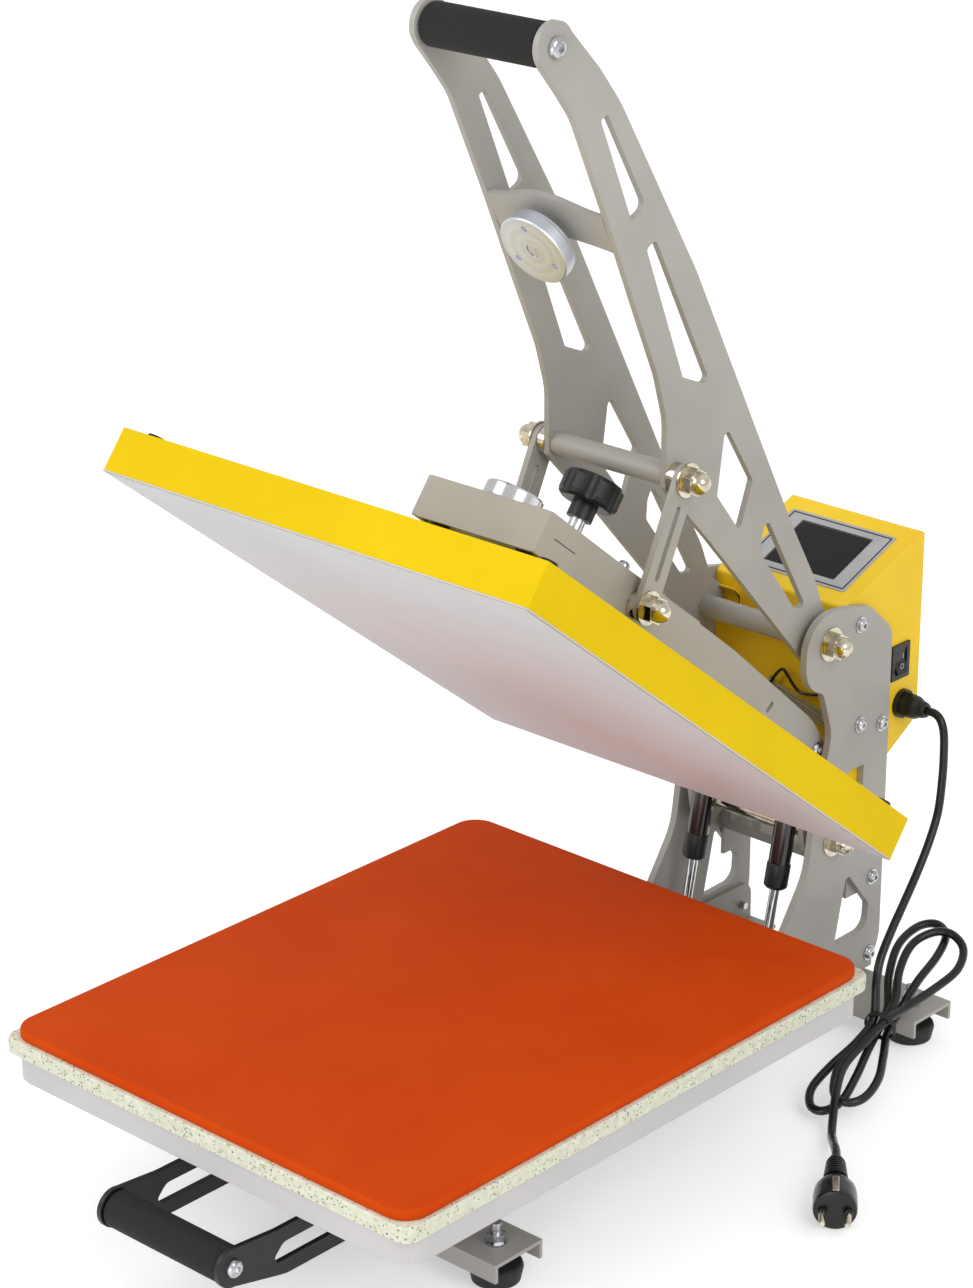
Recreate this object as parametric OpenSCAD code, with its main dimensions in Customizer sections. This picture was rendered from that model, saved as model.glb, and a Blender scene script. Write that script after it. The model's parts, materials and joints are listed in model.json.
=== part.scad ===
// Clamshell dry mounting and heat press with a slide-out bed.
// X runs across the press, Y from the front to the rear, Z up from the table.
// The arm is shown open. Arm parts are drawn where they lie with the press closed and
// are then swung up about the arm pivot, so one set of sizes serves both positions.

/* [Frame] */
// Clear width between the two upright plates
frame_gap = 130; // [120:2:150]
// Thickness of the upright plates
upright_t = 6; // [4:1:8]
// Height of a rubber foot
foot_h = 15; // [10:1:25]
// Diameter of a rubber foot
foot_d = 40; // [30:1:50]
// Distance between the two feet on one bracket
foot_spacing = 260; // [200:5:300]
// Overhang of a foot bracket past the centre of its foot
bracket_overhang = 22; // [21:1:40]
// Depth of a foot bracket from front to rear
bracket_w = 50; // [44:2:70]
// Height of the folded edge of a foot bracket
bracket_lip = 12; // [8:1:12]
// Thickness of the folded steel sheet in the base
sheet_t = 3; // [2:0.5:4]
// Place of the front feet
front_foot_y = -186; // [-205:1:-170]
// Place of the rear feet
rear_foot_y = 311; // [300:1:318]
// Size of the screw in a foot
stud_d = 8; // [6:1:10]

/* [Bed] */
// Width of the silicone pad
pad_w = 400; // [360:10:440]
// Length of the silicone pad
pad_l = 500; // [460:10:504]
// Thickness of the silicone pad
pad_t = 8; // [6:1:10]
// Thickness of the felt board under the pad
felt_t = 12; // [8:1:14]
// Depth of the folded bed tray
tray_h = 20; // [15:1:22]
// Height of the pad's upper face above the table
bed_top = 150; // [148:1:160]
// Corner radius of the pad
pad_r = 20; // [10:1:30]
// Diameter of the foam grip on the pull handle
pull_grip_d = 28; // [24:1:34]
// Distance of the pull grip's axis in front of the bed's centre
pull_reach = 278; // [270:1:300]

/* [Pressing arm] */
// Length of the heated platen's cover
cover_l = 520; // [500:5:530]
// Width of the heated platen's cover
cover_w = 403; // [380:1:410]
// Height of the heated platen's cover
cover_h = 34.4; // [30:0.1:36]
// Thickness of the heated aluminium plate
heater_t = 13; // [10:1:14]
// Thickness of the arm's side plates
arm_t = 5; // [4:1:6]
// Height of the arm housing
housing_h = 32; // [28:1:36]
// Angle that the arm opens
arm_open = 37.92; // [30:0.1:40]
// Diameter of the holding magnet
magnet_d = 45; // [36:1:50]
// Diameter of the pressure knob
knob_d = 47; // [36:1:52]
// Height of the pressure knob's head
knob_h = 21; // [14:1:26]
// Diameter of the pressure screw
press_screw_d = 12; // [10:1:14]

/* [Lever] */
// Thickness of the lever's side plates
lever_t = 5; // [4:1:6]
// Diameter of the foam grip
grip_d = 32; // [26:1:40]
// Diameter of the tubes between the lever's plates
tube_d = 18; // [16:1:22]
// Angle that the lever turns while the arm closes
lever_travel = 62.6; // [50:0.1:66]
// Diameter of the armature disc
disc_d = 58; // [46:1:64]
// Thickness of the armature disc
disc_t = 12; // [8:1:14]
// Width of a toggle link
link_w = 23; // [21:1:28]
// Thickness of a toggle link
link_t = 5; // [4:1:6]

/* [Gas springs] */
// Diameter of a gas spring's cylinder
cylinder_d = 18; // [14:1:20]
// Diameter of a gas spring's rod
rod_d = 8; // [6:1:10]
// Distance between the two gas springs
spring_spacing = 84; // [72:1:86]

/* [Control box] */
// Thickness of the control box's sheet
box_t = 1.5; // [1:0.25:2]
// Width of the rocker switch
switch_w = 23; // [18:1:26]
// Height of the rocker switch
switch_l = 30; // [26:1:34]
// Diameter of the cable gland's nut
gland_d = 22; // [18:1:24]

/* [Mains lead] */
// Diameter of the mains lead
cord_d = 7; // [6:0.5:8]

/* [Hidden] */
$fn = 48;

// Running clearance round a shaft, and the gap kept between pieces that only meet
run_gap = 0.05;
seat_gap = 0.3;
ridge = 0.01;

// The four pivots of the toggle linkage in the YZ plane, with the press open
pivot_a = [264.6, 340];
pivot_b = [84, 521.3];
pivot_c = [42, 434.1];
pivot_d = [278, 168.4];
link_len = norm(pivot_b - pivot_c);
link_angle = atan2(pivot_b[1] - pivot_c[1], pivot_b[0] - pivot_c[0]);

half_gap = frame_gap / 2;
upright_out = half_gap + upright_t;
// Spacers of this length keep the arm and the lever off the uprights
side_gap = 6;
arm_out = half_gap - side_gap;
arm_in = arm_out - arm_t;
lever_out = arm_out;
lever_in = lever_out - lever_t;
link_spacer = 7;
link_in = arm_out + link_spacer;
link_out = link_in + link_t;

bracket_top = foot_h + bracket_lip + sheet_t;
bracket_half = foot_spacing / 2 + bracket_overhang;
bed_y = -100;
felt_top = bed_top - pad_t;
tray_top = felt_top - felt_t;
tray_bottom = tray_top - tray_h;
tray_w = pad_w + 2;
tray_l = pad_l + 2;
felt_w = pad_w + 8;
felt_l = pad_l + 8;

rail_front = front_foot_y - bracket_w / 2 - 4;
rail_rear = rear_foot_y + bracket_w / 2 + 9;
rail_step = 150;
slide_h = 45;
slide_w = 12.7;
slide_z = (bracket_top + sheet_t + tray_bottom - 4) / 2 + 10;
slide_len = 360;
slide_front = rail_front + 3;
slide_wall = 1.4;
carriage_x = half_gap + slide_w;

cover_bottom = bed_top + 1;
cover_top = cover_bottom + cover_h;
platen_bottom = bed_top + 0.4;
heater_top = platen_bottom + heater_t;
mount_t = 6;
mount_top = cover_top + mount_t;
housing_top = 252;
housing_bottom = housing_top - housing_h;
housing_front = -203;
housing_rear = 16;
top_t = 3;
floor_t = 4;
magnet_y = -177.3;
magnet_h = 12;
magnet_top = housing_top + magnet_h;
knob_y = -99;
knob_top = 308;
guide_x = 42;
guide_y = [-188, -20];
guide_d = 10;

spring_x = spring_spacing / 2;
spring_top = [267, 247];
spring_foot = [225, 50];
spring_dir = (spring_top - spring_foot) / norm(spring_top - spring_foot);
spring_angle = atan2(spring_dir[1], spring_dir[0]);
spring_len = norm(spring_top - spring_foot);
cylinder_low = 81;
eye_d = 16;
eye_w = 9;
pin_d = 8;

grip_at = [-50, 858];
head_r = 18;
pivot_r = 22;
bolt_a_d = 14;
bolt_b_d = 12;

pull_y = bed_y - pull_reach;
pull_z = 67;
pull_t = 4;
pull_out = half_gap - sheet_t - 0.5;
pull_in = pull_out - pull_t;

box_half = half_gap - 0.5;
box_front = 290;
box_rear = 393;
panel_low = [box_front, 361];
panel_high = [388, 399];
panel_len = norm(panel_high - panel_low);
panel_angle = atan2(panel_high[1] - panel_low[1], panel_high[0] - panel_low[0]);
switch_at = [366, 294];
gland_at = [371, 256];

// Centre lines of the mains lead: from the gland down to the hank, and on to the plug
cord_points = [[90.5, 371, 256], [98, 371, 256], [104, 370.6, 252.5], [108, 370, 244],
    [110, 369, 230], [112, 366, 207], [115, 358, 180], [118, 344, 160], [121, 326, 141],
    [125, 304, 123], [129, 282, 106], [133, 263, 89], [137, 253, 73], [140, 248, 57],
    [142, 246, 43]];
tail_points = [[168, 153, 9], [174, 139, 6], [181, 131, 4.5], [189, 124, 5], [200, 114, 9], [211, 105, 16],
    [220, 95, 19], [226, 87, 19]];
// Tips of the tied hank, which lies with its front end on the table and leans on a foot stud
hank_from = [168, 148, 8.5];
hank_to = [124, 372, 76];
plug_at = tail_points[7];
plug_turn = atan2(-8, 6);

// Rounded polygon: each point is [u, v, r], where r is the radius of its corner
function corner(a, p, b, r) =
    let (u = (a - p) / norm(a - p), v = (b - p) / norm(b - p),
        half = acos(max(-1, min(1, u * v))) / 2,
        c = p + (u + v) / norm(u + v) * r / sin(half),
        s = p + u * r / tan(half), e = p + v * r / tan(half),
        a0 = atan2(s[1] - c[1], s[0] - c[0]), a1 = atan2(e[1] - c[1], e[0] - c[0]),
        turn = (a1 - a0 + 540) % 360 - 180, n = max(2, ceil(abs(turn) / 12)))
    [for (i = [0:n]) c + r * [cos(a0 + turn * i / n), sin(a0 + turn * i / n)]];

function outline(pts) =
    let (n = len(pts))
    [for (i = [0:n - 1])
        let (a = pts[(i + n - 1) % n], p = pts[i], b = pts[(i + 1) % n])
        each p[2] == 0 ? [[p[0], p[1]]]
            : corner([a[0], a[1]], [p[0], p[1]], [b[0], b[1]], p[2])];

// Rings of a round tube carried along a path, without twist
function unit(v) = v / norm(v);
function tangent(p, i) = unit(p[min(i + 1, len(p) - 1)] - p[max(i - 1, 0)]);
function frames(p, i = 0, side = [0, 0, 1]) =
    i == len(p) ? []
    : let (t = tangent(p, i), s = unit(side - t * (side * t)))
        concat([[s, cross(t, s)]], frames(p, i + 1, s));

module tube_along(p, r, sides, side = [0, 0, 1]) {
    f = frames(p, 0, side);
    n = len(p);
    rings = [for (i = [0:n - 1]) for (k = [0:sides - 1])
        p[i] + r * (cos(360 * k / sides) * f[i][0] + sin(360 * k / sides) * f[i][1])];
    skin = [for (i = [0:n - 2]) for (k = [0:sides - 1])
        let (m = (k + 1) % sides)
        [i * sides + k, (i + 1) * sides + k, (i + 1) * sides + m, i * sides + m]];
    polyhedron(rings, concat([[for (k = [0:sides - 1]) k]], skin,
        [[for (k = [sides - 1:-1:0]) (n - 1) * sides + k]]), convexity = 6);
}

// A plate cut in the YZ plane, from x0 to x1
module plate(x0, x1) translate([x0, 0, 0]) rotate([90, 0, 90]) linear_extrude(x1 - x0) children();

// A round bar or hole along X at a point of the YZ plane
module bar(at, d, x0, x1) translate([x0, at[0], at[1]]) rotate([0, 90, 0]) cylinder(d = d, h = x1 - x0);

module both_sides() {
    children();
    mirror([1, 0, 0]) children();
}

// A block between two corners
module block(a, b) translate(a) cube(b - a);

module rounded_rect(w, l, r) polygon(outline([[-w / 2, -l / 2, r], [w / 2, -l / 2, r],
    [w / 2, l / 2, r], [-w / 2, l / 2, r]]));

// Fasteners stand on z = 0 and point up
module hex_nut(across, h) cylinder(d = across / cos(30), h = h, $fn = 6);

module dome_nut(across, d) {
    hex_nut(across, 0.45 * across);
    translate([0, 0, 0.45 * across]) cylinder(d = 0.9 * across, h = 0.1 * across);
    translate([0, 0, 0.52 * across]) intersection() {
        sphere(d = 0.88 * across);
        cylinder(d = across, h = across);
    }
}

module button_head(d, h) rotate_extrude() polygon(concat([[0, 0], [d / 2, 0]],
    [for (a = [10:16:90]) [d / 2 - (h * 0.9) * (1 - cos(a)), h * 0.2 + h * 0.8 * sin(a)]],
    [[0, h]]));

module socket_head(d, h, key) difference() {
    button_head(d, h);
    translate([0, 0, h * 0.4]) cylinder(d = key / cos(30), h = h, $fn = 6);
}

// Puts a fastener on a face at x, pointing away from the middle of the press
module on_side(at, x) translate([x, at[0], at[1]]) rotate([0, 90, 0]) children();

module opened() translate([0, pivot_d[0], pivot_d[1]]) rotate([-arm_open, 0, 0])
    translate([0, -pivot_d[0], -pivot_d[1]]) children();

module lever_opened() translate([0, pivot_a[0], pivot_a[1]]) rotate([-lever_travel, 0, 0])
    translate([0, -pivot_a[0], -pivot_a[1]]) children();

// BASE
stud_x = foot_spacing / 2;
rail_bolt_y = [-16, 16];
rail_bolt_x = half_gap - 18;
rail_bolt_d = 6;

module foot_bracket(y) difference() {
    union() {
        block([-bracket_half, y - bracket_w / 2, bracket_top - sheet_t],
            [bracket_half, y + bracket_w / 2, bracket_top]);
        for (s = [-1, 1]) block([-bracket_half, y + s * (bracket_w - sheet_t) / 2 - sheet_t / 2,
            foot_h], [bracket_half, y + s * (bracket_w - sheet_t) / 2 + sheet_t / 2, bracket_top]);
    }
    both_sides() {
        translate([stud_x, y, 0]) cylinder(d = stud_d + 2 * run_gap, h = bracket_top + 1);
        for (dy = rail_bolt_y) translate([rail_bolt_x, y + dy, foot_h])
            cylinder(d = rail_bolt_d + 2 * run_gap, h = bracket_top);
    }
}

module front_foot_bracket() color([0.68, 0.66, 0.64]) foot_bracket(front_foot_y);

module rear_foot_bracket() color([0.68, 0.66, 0.64]) foot_bracket(rear_foot_y);

module at_feet() for (x = [-stud_x, stud_x]) for (y = [front_foot_y, rear_foot_y])
    translate([x, y, 0]) children();

stud_sink = 9;

module rubber_feet() color([0.06, 0.06, 0.06]) at_feet() rotate_extrude() polygon(concat(
    [[0, 0], [foot_d / 2 - 4, 0], [foot_d / 2 - 2, 1.2], [foot_d / 2, foot_h - 4],
    [foot_d / 2 - 0.8, foot_h - 1.2], [foot_d / 2 - 2.5, foot_h]],
    [[stud_d / 2 + run_gap, foot_h], [stud_d / 2 + run_gap, foot_h - stud_sink],
    [0, foot_h - stud_sink]]));

module foot_studs() color([0.75, 0.75, 0.77]) at_feet() {
    translate([0, 0, foot_h - stud_sink + seat_gap])
        cylinder(d = stud_d, h = bracket_top + 16 - foot_h + stud_sink);
    translate([0, 0, foot_h]) cylinder(d = 2.4 * stud_d, h = 1.6);
    translate([0, 0, foot_h + 1.6]) hex_nut(1.6 * stud_d, bracket_lip - 1.6);
    translate([0, 0, bracket_top]) cylinder(d = 2.1 * stud_d, h = 1.6);
    translate([0, 0, bracket_top + 1.6]) hex_nut(1.6 * stud_d, 0.8 * stud_d);
}

channel_foot = 30;
channel_low = 66;

// Folded side channel: a tall web for the bed slides and a foot that stands on the brackets
module base_channel() difference() {
    union() {
        plate(half_gap - sheet_t, half_gap) polygon(outline([[rail_front, bracket_top, 0],
            [rail_front, tray_bottom - 2, 8], [rail_step, tray_bottom - 2, 20],
            [rail_step + 30, channel_low, 20], [rail_rear, channel_low, 12],
            [rail_rear, bracket_top, 0]]));
        block([half_gap - channel_foot, rail_front, bracket_top],
            [half_gap, rail_rear, bracket_top + sheet_t]);
    }
    for (y = [front_foot_y, rear_foot_y]) for (dy = rail_bolt_y)
        translate([rail_bolt_x, y + dy, bracket_top - 1])
            cylinder(d = rail_bolt_d + 2 * run_gap, h = sheet_t + 2);
    for (p = upright_screw_at) if (p[1] < channel_low)
        bar(p, screw_d + 2 * run_gap, half_gap - sheet_t - 1, half_gap + 1);
}

module base_channels() color([0.68, 0.66, 0.64]) both_sides() base_channel();

screw_d = 6;
upright_screw_at = [[180, 46], [262, 46], [332, 48], [332, 117], [307, 259], [336, 251], [303, 345]];
bracket_screw_at = upright_screw_at[3];

upright_outline = [[158, 30, 0], [158, 56, 10], [186, 62, 24], [216, 104, 30], [246, 148, 50],
    [251, 182, 60], [271, 262, 26], [258, 300, 10], [234.6, 310, 27], [234.6, 370, 30],
    [288, 364, 30], [314, 358, 14], [346, 330, 20], [346, 30, 38]];

module upright_plate() difference() {
    plate(half_gap, upright_out) polygon(outline([for (p = upright_outline)
        [p[0], p[1] == 30 ? bracket_top : p[1], p[2]]]));
    plate(half_gap - 1, upright_out + 1) {
        polygon(outline([[298, 132, 4], [329, 94, 6], [328, 72, 12], [284, 71, 4]]));
        polygon(outline([[294, 204, 2], [315, 204, 2], [315, 222, 2], [294, 222, 2]]));
    }
    bar(pivot_a, bolt_a_d + 2 * run_gap, half_gap - 1, upright_out + 1);
    bar(pivot_d, bolt_a_d + 2 * run_gap, half_gap - 1, upright_out + 1);
    for (p = upright_screw_at) bar(p, screw_d + 2 * run_gap, half_gap - 1, upright_out + 1);
}

module upright_right() color([0.66, 0.65, 0.63]) upright_plate();

module upright_left() color([0.66, 0.65, 0.63]) mirror([1, 0, 0]) upright_plate();

screw_len = [for (p = upright_screw_at) p[1] < channel_low ? sheet_t + 5
    : p == bracket_screw_at ? sheet_t + 4 : 5];

module frame_screws() color([0.78, 0.78, 0.8]) {
    both_sides() for (i = [0:len(upright_screw_at) - 1]) {
        on_side(upright_screw_at[i], upright_out) {
            difference() {
                cylinder(d = 2.2 * screw_d, h = 1.2);
                translate([0, 0, -1]) cylinder(d = screw_d / 2, h = 1);
            }
            translate([0, 0, 1.2]) socket_head(1.7 * screw_d, 0.55 * screw_d, 0.6 * screw_d);
        }
        bar(upright_screw_at[i], screw_d, half_gap - screw_len[i], upright_out + 1);
    }
    both_sides() for (y = [front_foot_y, rear_foot_y]) for (dy = rail_bolt_y)
        translate([rail_bolt_x, y + dy, 0]) {
            translate([0, 0, foot_h + 4]) cylinder(d = rail_bolt_d, h = bracket_top - foot_h + 1);
            translate([0, 0, foot_h + 3]) hex_nut(1.6 * rail_bolt_d, bracket_lip - 3);
            translate([0, 0, bracket_top + sheet_t])
                socket_head(1.7 * rail_bolt_d, 0.55 * rail_bolt_d, 0.6 * rail_bolt_d);
        }
}

cross_y = 306;
cross_low = 104;
cross_high = 180;
cross_depth = 24;

// Folded rear bracket with two rows of windows
module upright_cross_bracket() color([0.66, 0.65, 0.63]) difference() {
    union() {
        block([-half_gap, cross_y, 128], [half_gap, cross_y + sheet_t, cross_high]);
        for (z = [128, cross_high - sheet_t])
            block([-half_gap, cross_y, z], [half_gap, cross_y + cross_depth, z + sheet_t]);
        both_sides() block([half_gap - sheet_t, cross_y, cross_low],
            [half_gap, bracket_screw_at[0] + 8, cross_high]);
    }
    for (x = [-1.5, -0.5, 0.5, 1.5]) for (z = [136, 157])
        plate_xz(cross_y - 1, cross_y + sheet_t + 1) translate([x * frame_gap * 0.225, z])
            translate([0, 7]) rounded_rect(frame_gap * 0.17, 14, 2);
    both_sides() bar(bracket_screw_at, screw_d + 2 * run_gap, half_gap - sheet_t - 1, half_gap + 1);
}

module plate_xz(y0, y1) translate([0, y1, 0]) rotate([90, 0, 0]) linear_extrude(y1 - y0) children();

// Telescopic slide, outer member: a C that is open to the outside
module slide_outer() {
    block([half_gap, slide_front, slide_z - slide_h / 2],
        [half_gap + slide_wall, slide_front + slide_len, slide_z + slide_h / 2]);
    for (s = [-1, 1]) block([half_gap, slide_front, slide_z + s * (slide_h - slide_wall) / 2 - slide_wall / 2],
        [half_gap + slide_w - 2, slide_front + slide_len, slide_z + s * (slide_h - slide_wall) / 2 + slide_wall / 2]);
}

module slide_rails_fixed() color([0.7, 0.71, 0.73]) both_sides() slide_outer();

slide_ball = 2;

module slide_inner() {
    h = slide_h - 2 * slide_wall - 2 * slide_ball;
    block([carriage_x - slide_wall, slide_front, slide_z - h / 2],
        [carriage_x, slide_front + slide_len, slide_z + h / 2]);
    for (s = [-1, 1]) block([half_gap + 3, slide_front, slide_z + s * (h - slide_wall) / 2 - slide_wall / 2],
        [carriage_x, slide_front + slide_len, slide_z + s * (h - slide_wall) / 2 + slide_wall / 2]);
    for (s = [-1, 1]) for (k = [0:5])
        translate([half_gap + 6.5, slide_front + 120 + k * 24, slide_z + s * (h + slide_ball) / 2])
            sphere(d = slide_ball - 0.2, $fn = 16);
}

module slide_rails_moving() color([0.75, 0.76, 0.78]) both_sides() slide_inner();

lug_t = 3;
anchor_top = bracket_top + 2 * sheet_t;

// Cross plate with four ears; short pins stand in the ears and stop beside the rod eyes
module spring_anchor() color([0.62, 0.61, 0.6]) {
    difference() {
        union() {
            block([-half_gap + sheet_t, spring_foot[0] - 22, bracket_top + sheet_t],
                [half_gap - sheet_t, spring_foot[0] + 22, anchor_top]);
            for (m = [-1, 1]) for (s = [-1, 1]) translate([m * spring_x, 0, 0])
                plate(s * (eye_w / 2 + 2 + lug_t / 2) - lug_t / 2, s * (eye_w / 2 + 2 + lug_t / 2) + lug_t / 2)
                    union() {
                        translate(spring_foot) circle(9);
                        polygon([[spring_foot[0] - 15, anchor_top - 1], [spring_foot[0] + 15, anchor_top - 1],
                            [spring_foot[0] + 8.6, spring_foot[1] + 2.5], [spring_foot[0] - 8.6, spring_foot[1] + 2.5]]);
                    }
        }
        for (s = [-1, 1]) translate([s * spring_x, spring_foot[0], 0])
            block([-eye_w / 2 - 2, -13, bracket_top - 1], [eye_w / 2 + 2, 13, anchor_top + 1]);
    }
    for (m = [-1, 1]) for (s = [-1, 1]) translate([m * spring_x, 0, 0])
        bar(spring_foot, pin_d, s > 0 ? eye_w / 2 + seat_gap : -eye_w / 2 - 2 - lug_t - 2,
            s > 0 ? eye_w / 2 + 2 + lug_t + 2 : -eye_w / 2 - seat_gap);
}

// A shaft through both uprights with a washer and a dome nut at each end
module through_shaft(at, d, across) {
    bar(at, d, -upright_out - 2, upright_out + 2);
    both_sides() on_side(at, upright_out) {
        cylinder(d = 1.45 * across, h = 1.6);
        translate([0, 0, 1.6]) dome_nut(across, d);
    }
    both_sides() difference() {
        bar(at, 1.8 * d, arm_out + run_gap, half_gap);
        bar(at, d - 1, arm_out, half_gap + 1);
    }
}

module arm_pivot_shaft() color([0.8, 0.8, 0.82]) through_shaft(pivot_d, bolt_a_d, 19);

module lever_pivot_shaft() color([0.8, 0.8, 0.82]) through_shaft(pivot_a, bolt_a_d, 19);

// BED
module bed_block(w, l, z0, z1, r) translate([0, bed_y, z0]) linear_extrude(z1 - z0)
    rounded_rect(w, l, r);

carriage_t = 3;
carriage_wing = 26;

module bed_carriage() color([0.68, 0.66, 0.64]) both_sides() {
    block([carriage_x, slide_front, slide_z - 16], [carriage_x + carriage_t, slide_front + slide_len, tray_top - sheet_t]);
    block([carriage_x, slide_front, tray_top - sheet_t - carriage_t],
        [carriage_x + carriage_wing, slide_front + slide_len, tray_top - sheet_t]);
}

// Folded pan, open below, with rounded corners
module bed_tray() color([0.78, 0.77, 0.76]) difference() {
    bed_block(tray_w, tray_l, tray_bottom, tray_top, pad_r + 3);
    bed_block(tray_w - 2 * sheet_t, tray_l - 2 * sheet_t, tray_bottom - 1, tray_top - sheet_t, pad_r + 3 - sheet_t);
}

module felt_board() color([0.87, 0.88, 0.82]) bed_block(felt_w, felt_l, tray_top, felt_top, 12);

module silicone_pad() color([0.81, 0.26, 0.03]) bed_block(pad_w, pad_l, felt_top, bed_top, pad_r);

pull_rear = rail_front - 9;
pull_low = 40;
pull_flange = 16;

// Pull arm: a round head at the grip, a long slot, and a tab folded under the tray
module pull_arm() {
    head = pull_grip_d / 2 + 1;
    difference() {
        plate(pull_in, pull_out) union() {
            translate([pull_y, pull_z]) circle(head);
            polygon(outline([[pull_y + 3, pull_z + head - 0.4, 0], [pull_y + 42, pull_low + 38, 30],
                [pull_rear - 74, pull_low + 38, 8], [pull_rear - 74, tray_top - sheet_t, 0],
                [pull_rear, tray_top - sheet_t, 0], [pull_rear, pull_low, 10],
                [pull_y + 50, pull_low, 40], [pull_y - 6, pull_z - head + 1.5, 0]]));
        }
        plate(pull_in - 1, pull_out + 1) polygon(outline([[pull_y + 34, pull_low + 12, 4],
            [pull_y + 48, pull_low + 26, 8], [pull_rear - 22, pull_low + 26, 6],
            [pull_rear - 22, pull_low + 12, 6]]));
        bar([pull_y, pull_z], 8 + 2 * run_gap, pull_in - 1, pull_out + 1);
    }
    block([pull_in - pull_flange, pull_rear - 74, tray_top - sheet_t - pull_t],
        [pull_out, pull_rear, tray_top - sheet_t]);
}

module pull_arms() color([0.09, 0.09, 0.09]) both_sides() pull_arm();

module pull_grip() color([0.05, 0.05, 0.05]) difference() {
    bar([pull_y, pull_z], pull_grip_d, -pull_in + seat_gap, pull_in - seat_gap);
    bar([pull_y, pull_z], 16 + 2 * run_gap, -pull_in, pull_in);
}

module grip_rod(at, core, screw, inner, outer, head) {
    bar(at, core, -inner + ridge, inner - ridge);
    bar(at, screw, -outer, outer);
    both_sides() on_side(at, outer) socket_head(head, 0.32 * head, 0.38 * head);
}

module pull_grip_rod() color([0.78, 0.78, 0.8]) grip_rod([pull_y, pull_z], 16, 8, pull_in, pull_out, 14);

// PRESSING ARM, drawn closed
lobe_d = 22;
arm_edge = [[housing_front, housing_bottom, 1], [housing_front, housing_top, 1],
    [64, housing_top - 3, 300], [201, housing_top - 11, 60], [231, housing_top - 22, 16],
    [245, 212, 30], [293, 186, 0], [278, 168.4, 0], [262, 153, 0], [206, 202, 40],
    [168, housing_bottom, 40]];

module arm_side() difference() {
    plate(arm_in, arm_out) union() {
        polygon(outline(arm_edge));
        translate(pivot_d) circle(lobe_d);
    }
    bar(pivot_d, bolt_a_d + 2 * run_gap, arm_in - 1, arm_out + 1);
    bar(spring_top_closed, pin_d + 2 * run_gap, arm_in - 1, arm_out + 1);
    plate(arm_in - 1, arm_out + 1) translate([139, 229]) rotate(-15)
        polygon(outline([[-2, -5, 1.9], [2, -5, 1.9], [2, 5, 1.9], [-2, 5, 1.9]]));
}

function swing(p, c, a) = c + [cos(a) * (p[0] - c[0]) - sin(a) * (p[1] - c[1]),
    sin(a) * (p[0] - c[0]) + cos(a) * (p[1] - c[1])];
spring_top_closed = swing(spring_top, pivot_d, arm_open);

// Welded housing: side plates, front wall, top and floor, with a cross bar at the rear
module arm_housing() color([0.68, 0.66, 0.64]) opened() {
    both_sides() arm_side();
    difference() {
        union() {
            block([-arm_in - 1, housing_front, housing_bottom], [arm_in + 1, housing_front + top_t, housing_top]);
            block([-arm_in - 1, housing_front, housing_top - top_t], [arm_in + 1, housing_rear, housing_top]);
            block([-arm_in - 1, housing_front, housing_bottom + 2],
                [arm_in + 1, guide_y[1] + 22, housing_bottom + 2 + floor_t]);
        }
        translate([0, magnet_y, housing_bottom + 10]) cylinder(d = 10 + 2 * run_gap, h = housing_h);
        translate([0, knob_y, housing_bottom]) cylinder(d = press_screw_d + 2 * run_gap, h = housing_h + 1);
        for (x = [-guide_x, guide_x]) for (y = guide_y) translate([x, y, housing_bottom])
            cylinder(d = guide_d + 2 * run_gap, h = 10);
    }
    block([-arm_in - 1, 186, housing_bottom - 6], [arm_in + 1, 190, housing_bottom + 14]);
}

module electromagnet() color([0.82, 0.82, 0.84]) opened() translate([0, magnet_y, 0]) {
    translate([0, 0, housing_top]) rotate_extrude() polygon([[0, 0], [magnet_d / 2 - 1, 0],
        [magnet_d / 2, 1], [magnet_d / 2, magnet_h - 1.5], [magnet_d / 2 - 1.5, magnet_h],
        [magnet_d / 2 - 5, magnet_h], [magnet_d / 2 - 5, magnet_h - 0.6],
        [magnet_d / 2 - 9, magnet_h - 0.6], [magnet_d / 2 - 9, magnet_h], [0, magnet_h]]);
    translate([0, 0, housing_top - 14]) cylinder(d = 10, h = 15);
    translate([0, 0, housing_top - top_t - 8]) hex_nut(16, 8);
}

module pressure_nut() color([0.75, 0.75, 0.77]) opened() translate([0, knob_y, housing_top - top_t - 15])
    difference() {
        hex_nut(24, 15);
        translate([0, 0, -1]) cylinder(d = press_screw_d + 2 * run_gap, h = 17);
    }

module spring_upper_pins() color([0.78, 0.78, 0.8]) opened() both_sides() {
    bar(spring_top_closed, pin_d, spring_x - eye_w / 2 - 4, arm_out);
    on_side(spring_top_closed, arm_out) socket_head(12, 3.6, 5);
    translate([spring_x - eye_w / 2 - 2, 0, 0]) mirror([1, 0, 0])
        on_side(spring_top_closed, 0) hex_nut(13, 5);
    difference() {
        bar(spring_top_closed, 12, spring_x + eye_w / 2 + run_gap, arm_in);
        bar(spring_top_closed, 6, spring_x, arm_in + 1);
    }
}

// PLATEN, drawn closed
cover_y = bed_y - 0.5;
cover_t = 1.7;
bolt_x = [-30, 30];
bolt_y = [-160, -60, 40];
bolt_d = 6;

module mounting_plate() color([0.3, 0.3, 0.3]) opened() difference() {
    block([-arm_out + 2, housing_front + 4, cover_top + ridge], [arm_out - 2, 62, mount_top]);
    for (x = bolt_x) for (y = bolt_y) translate([x, y, cover_top - 1])
        cylinder(d = bolt_d + 2 * run_gap, h = mount_t + 2);
    for (x = [-guide_x, guide_x]) for (y = guide_y) translate([x, y, cover_top - 1])
        cylinder(d = guide_d - 2 + 2 * run_gap, h = mount_t + 2);
    translate([0, knob_y, mount_top - 2]) cylinder(d = press_screw_d + 2 * run_gap, h = 3);
}

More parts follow.
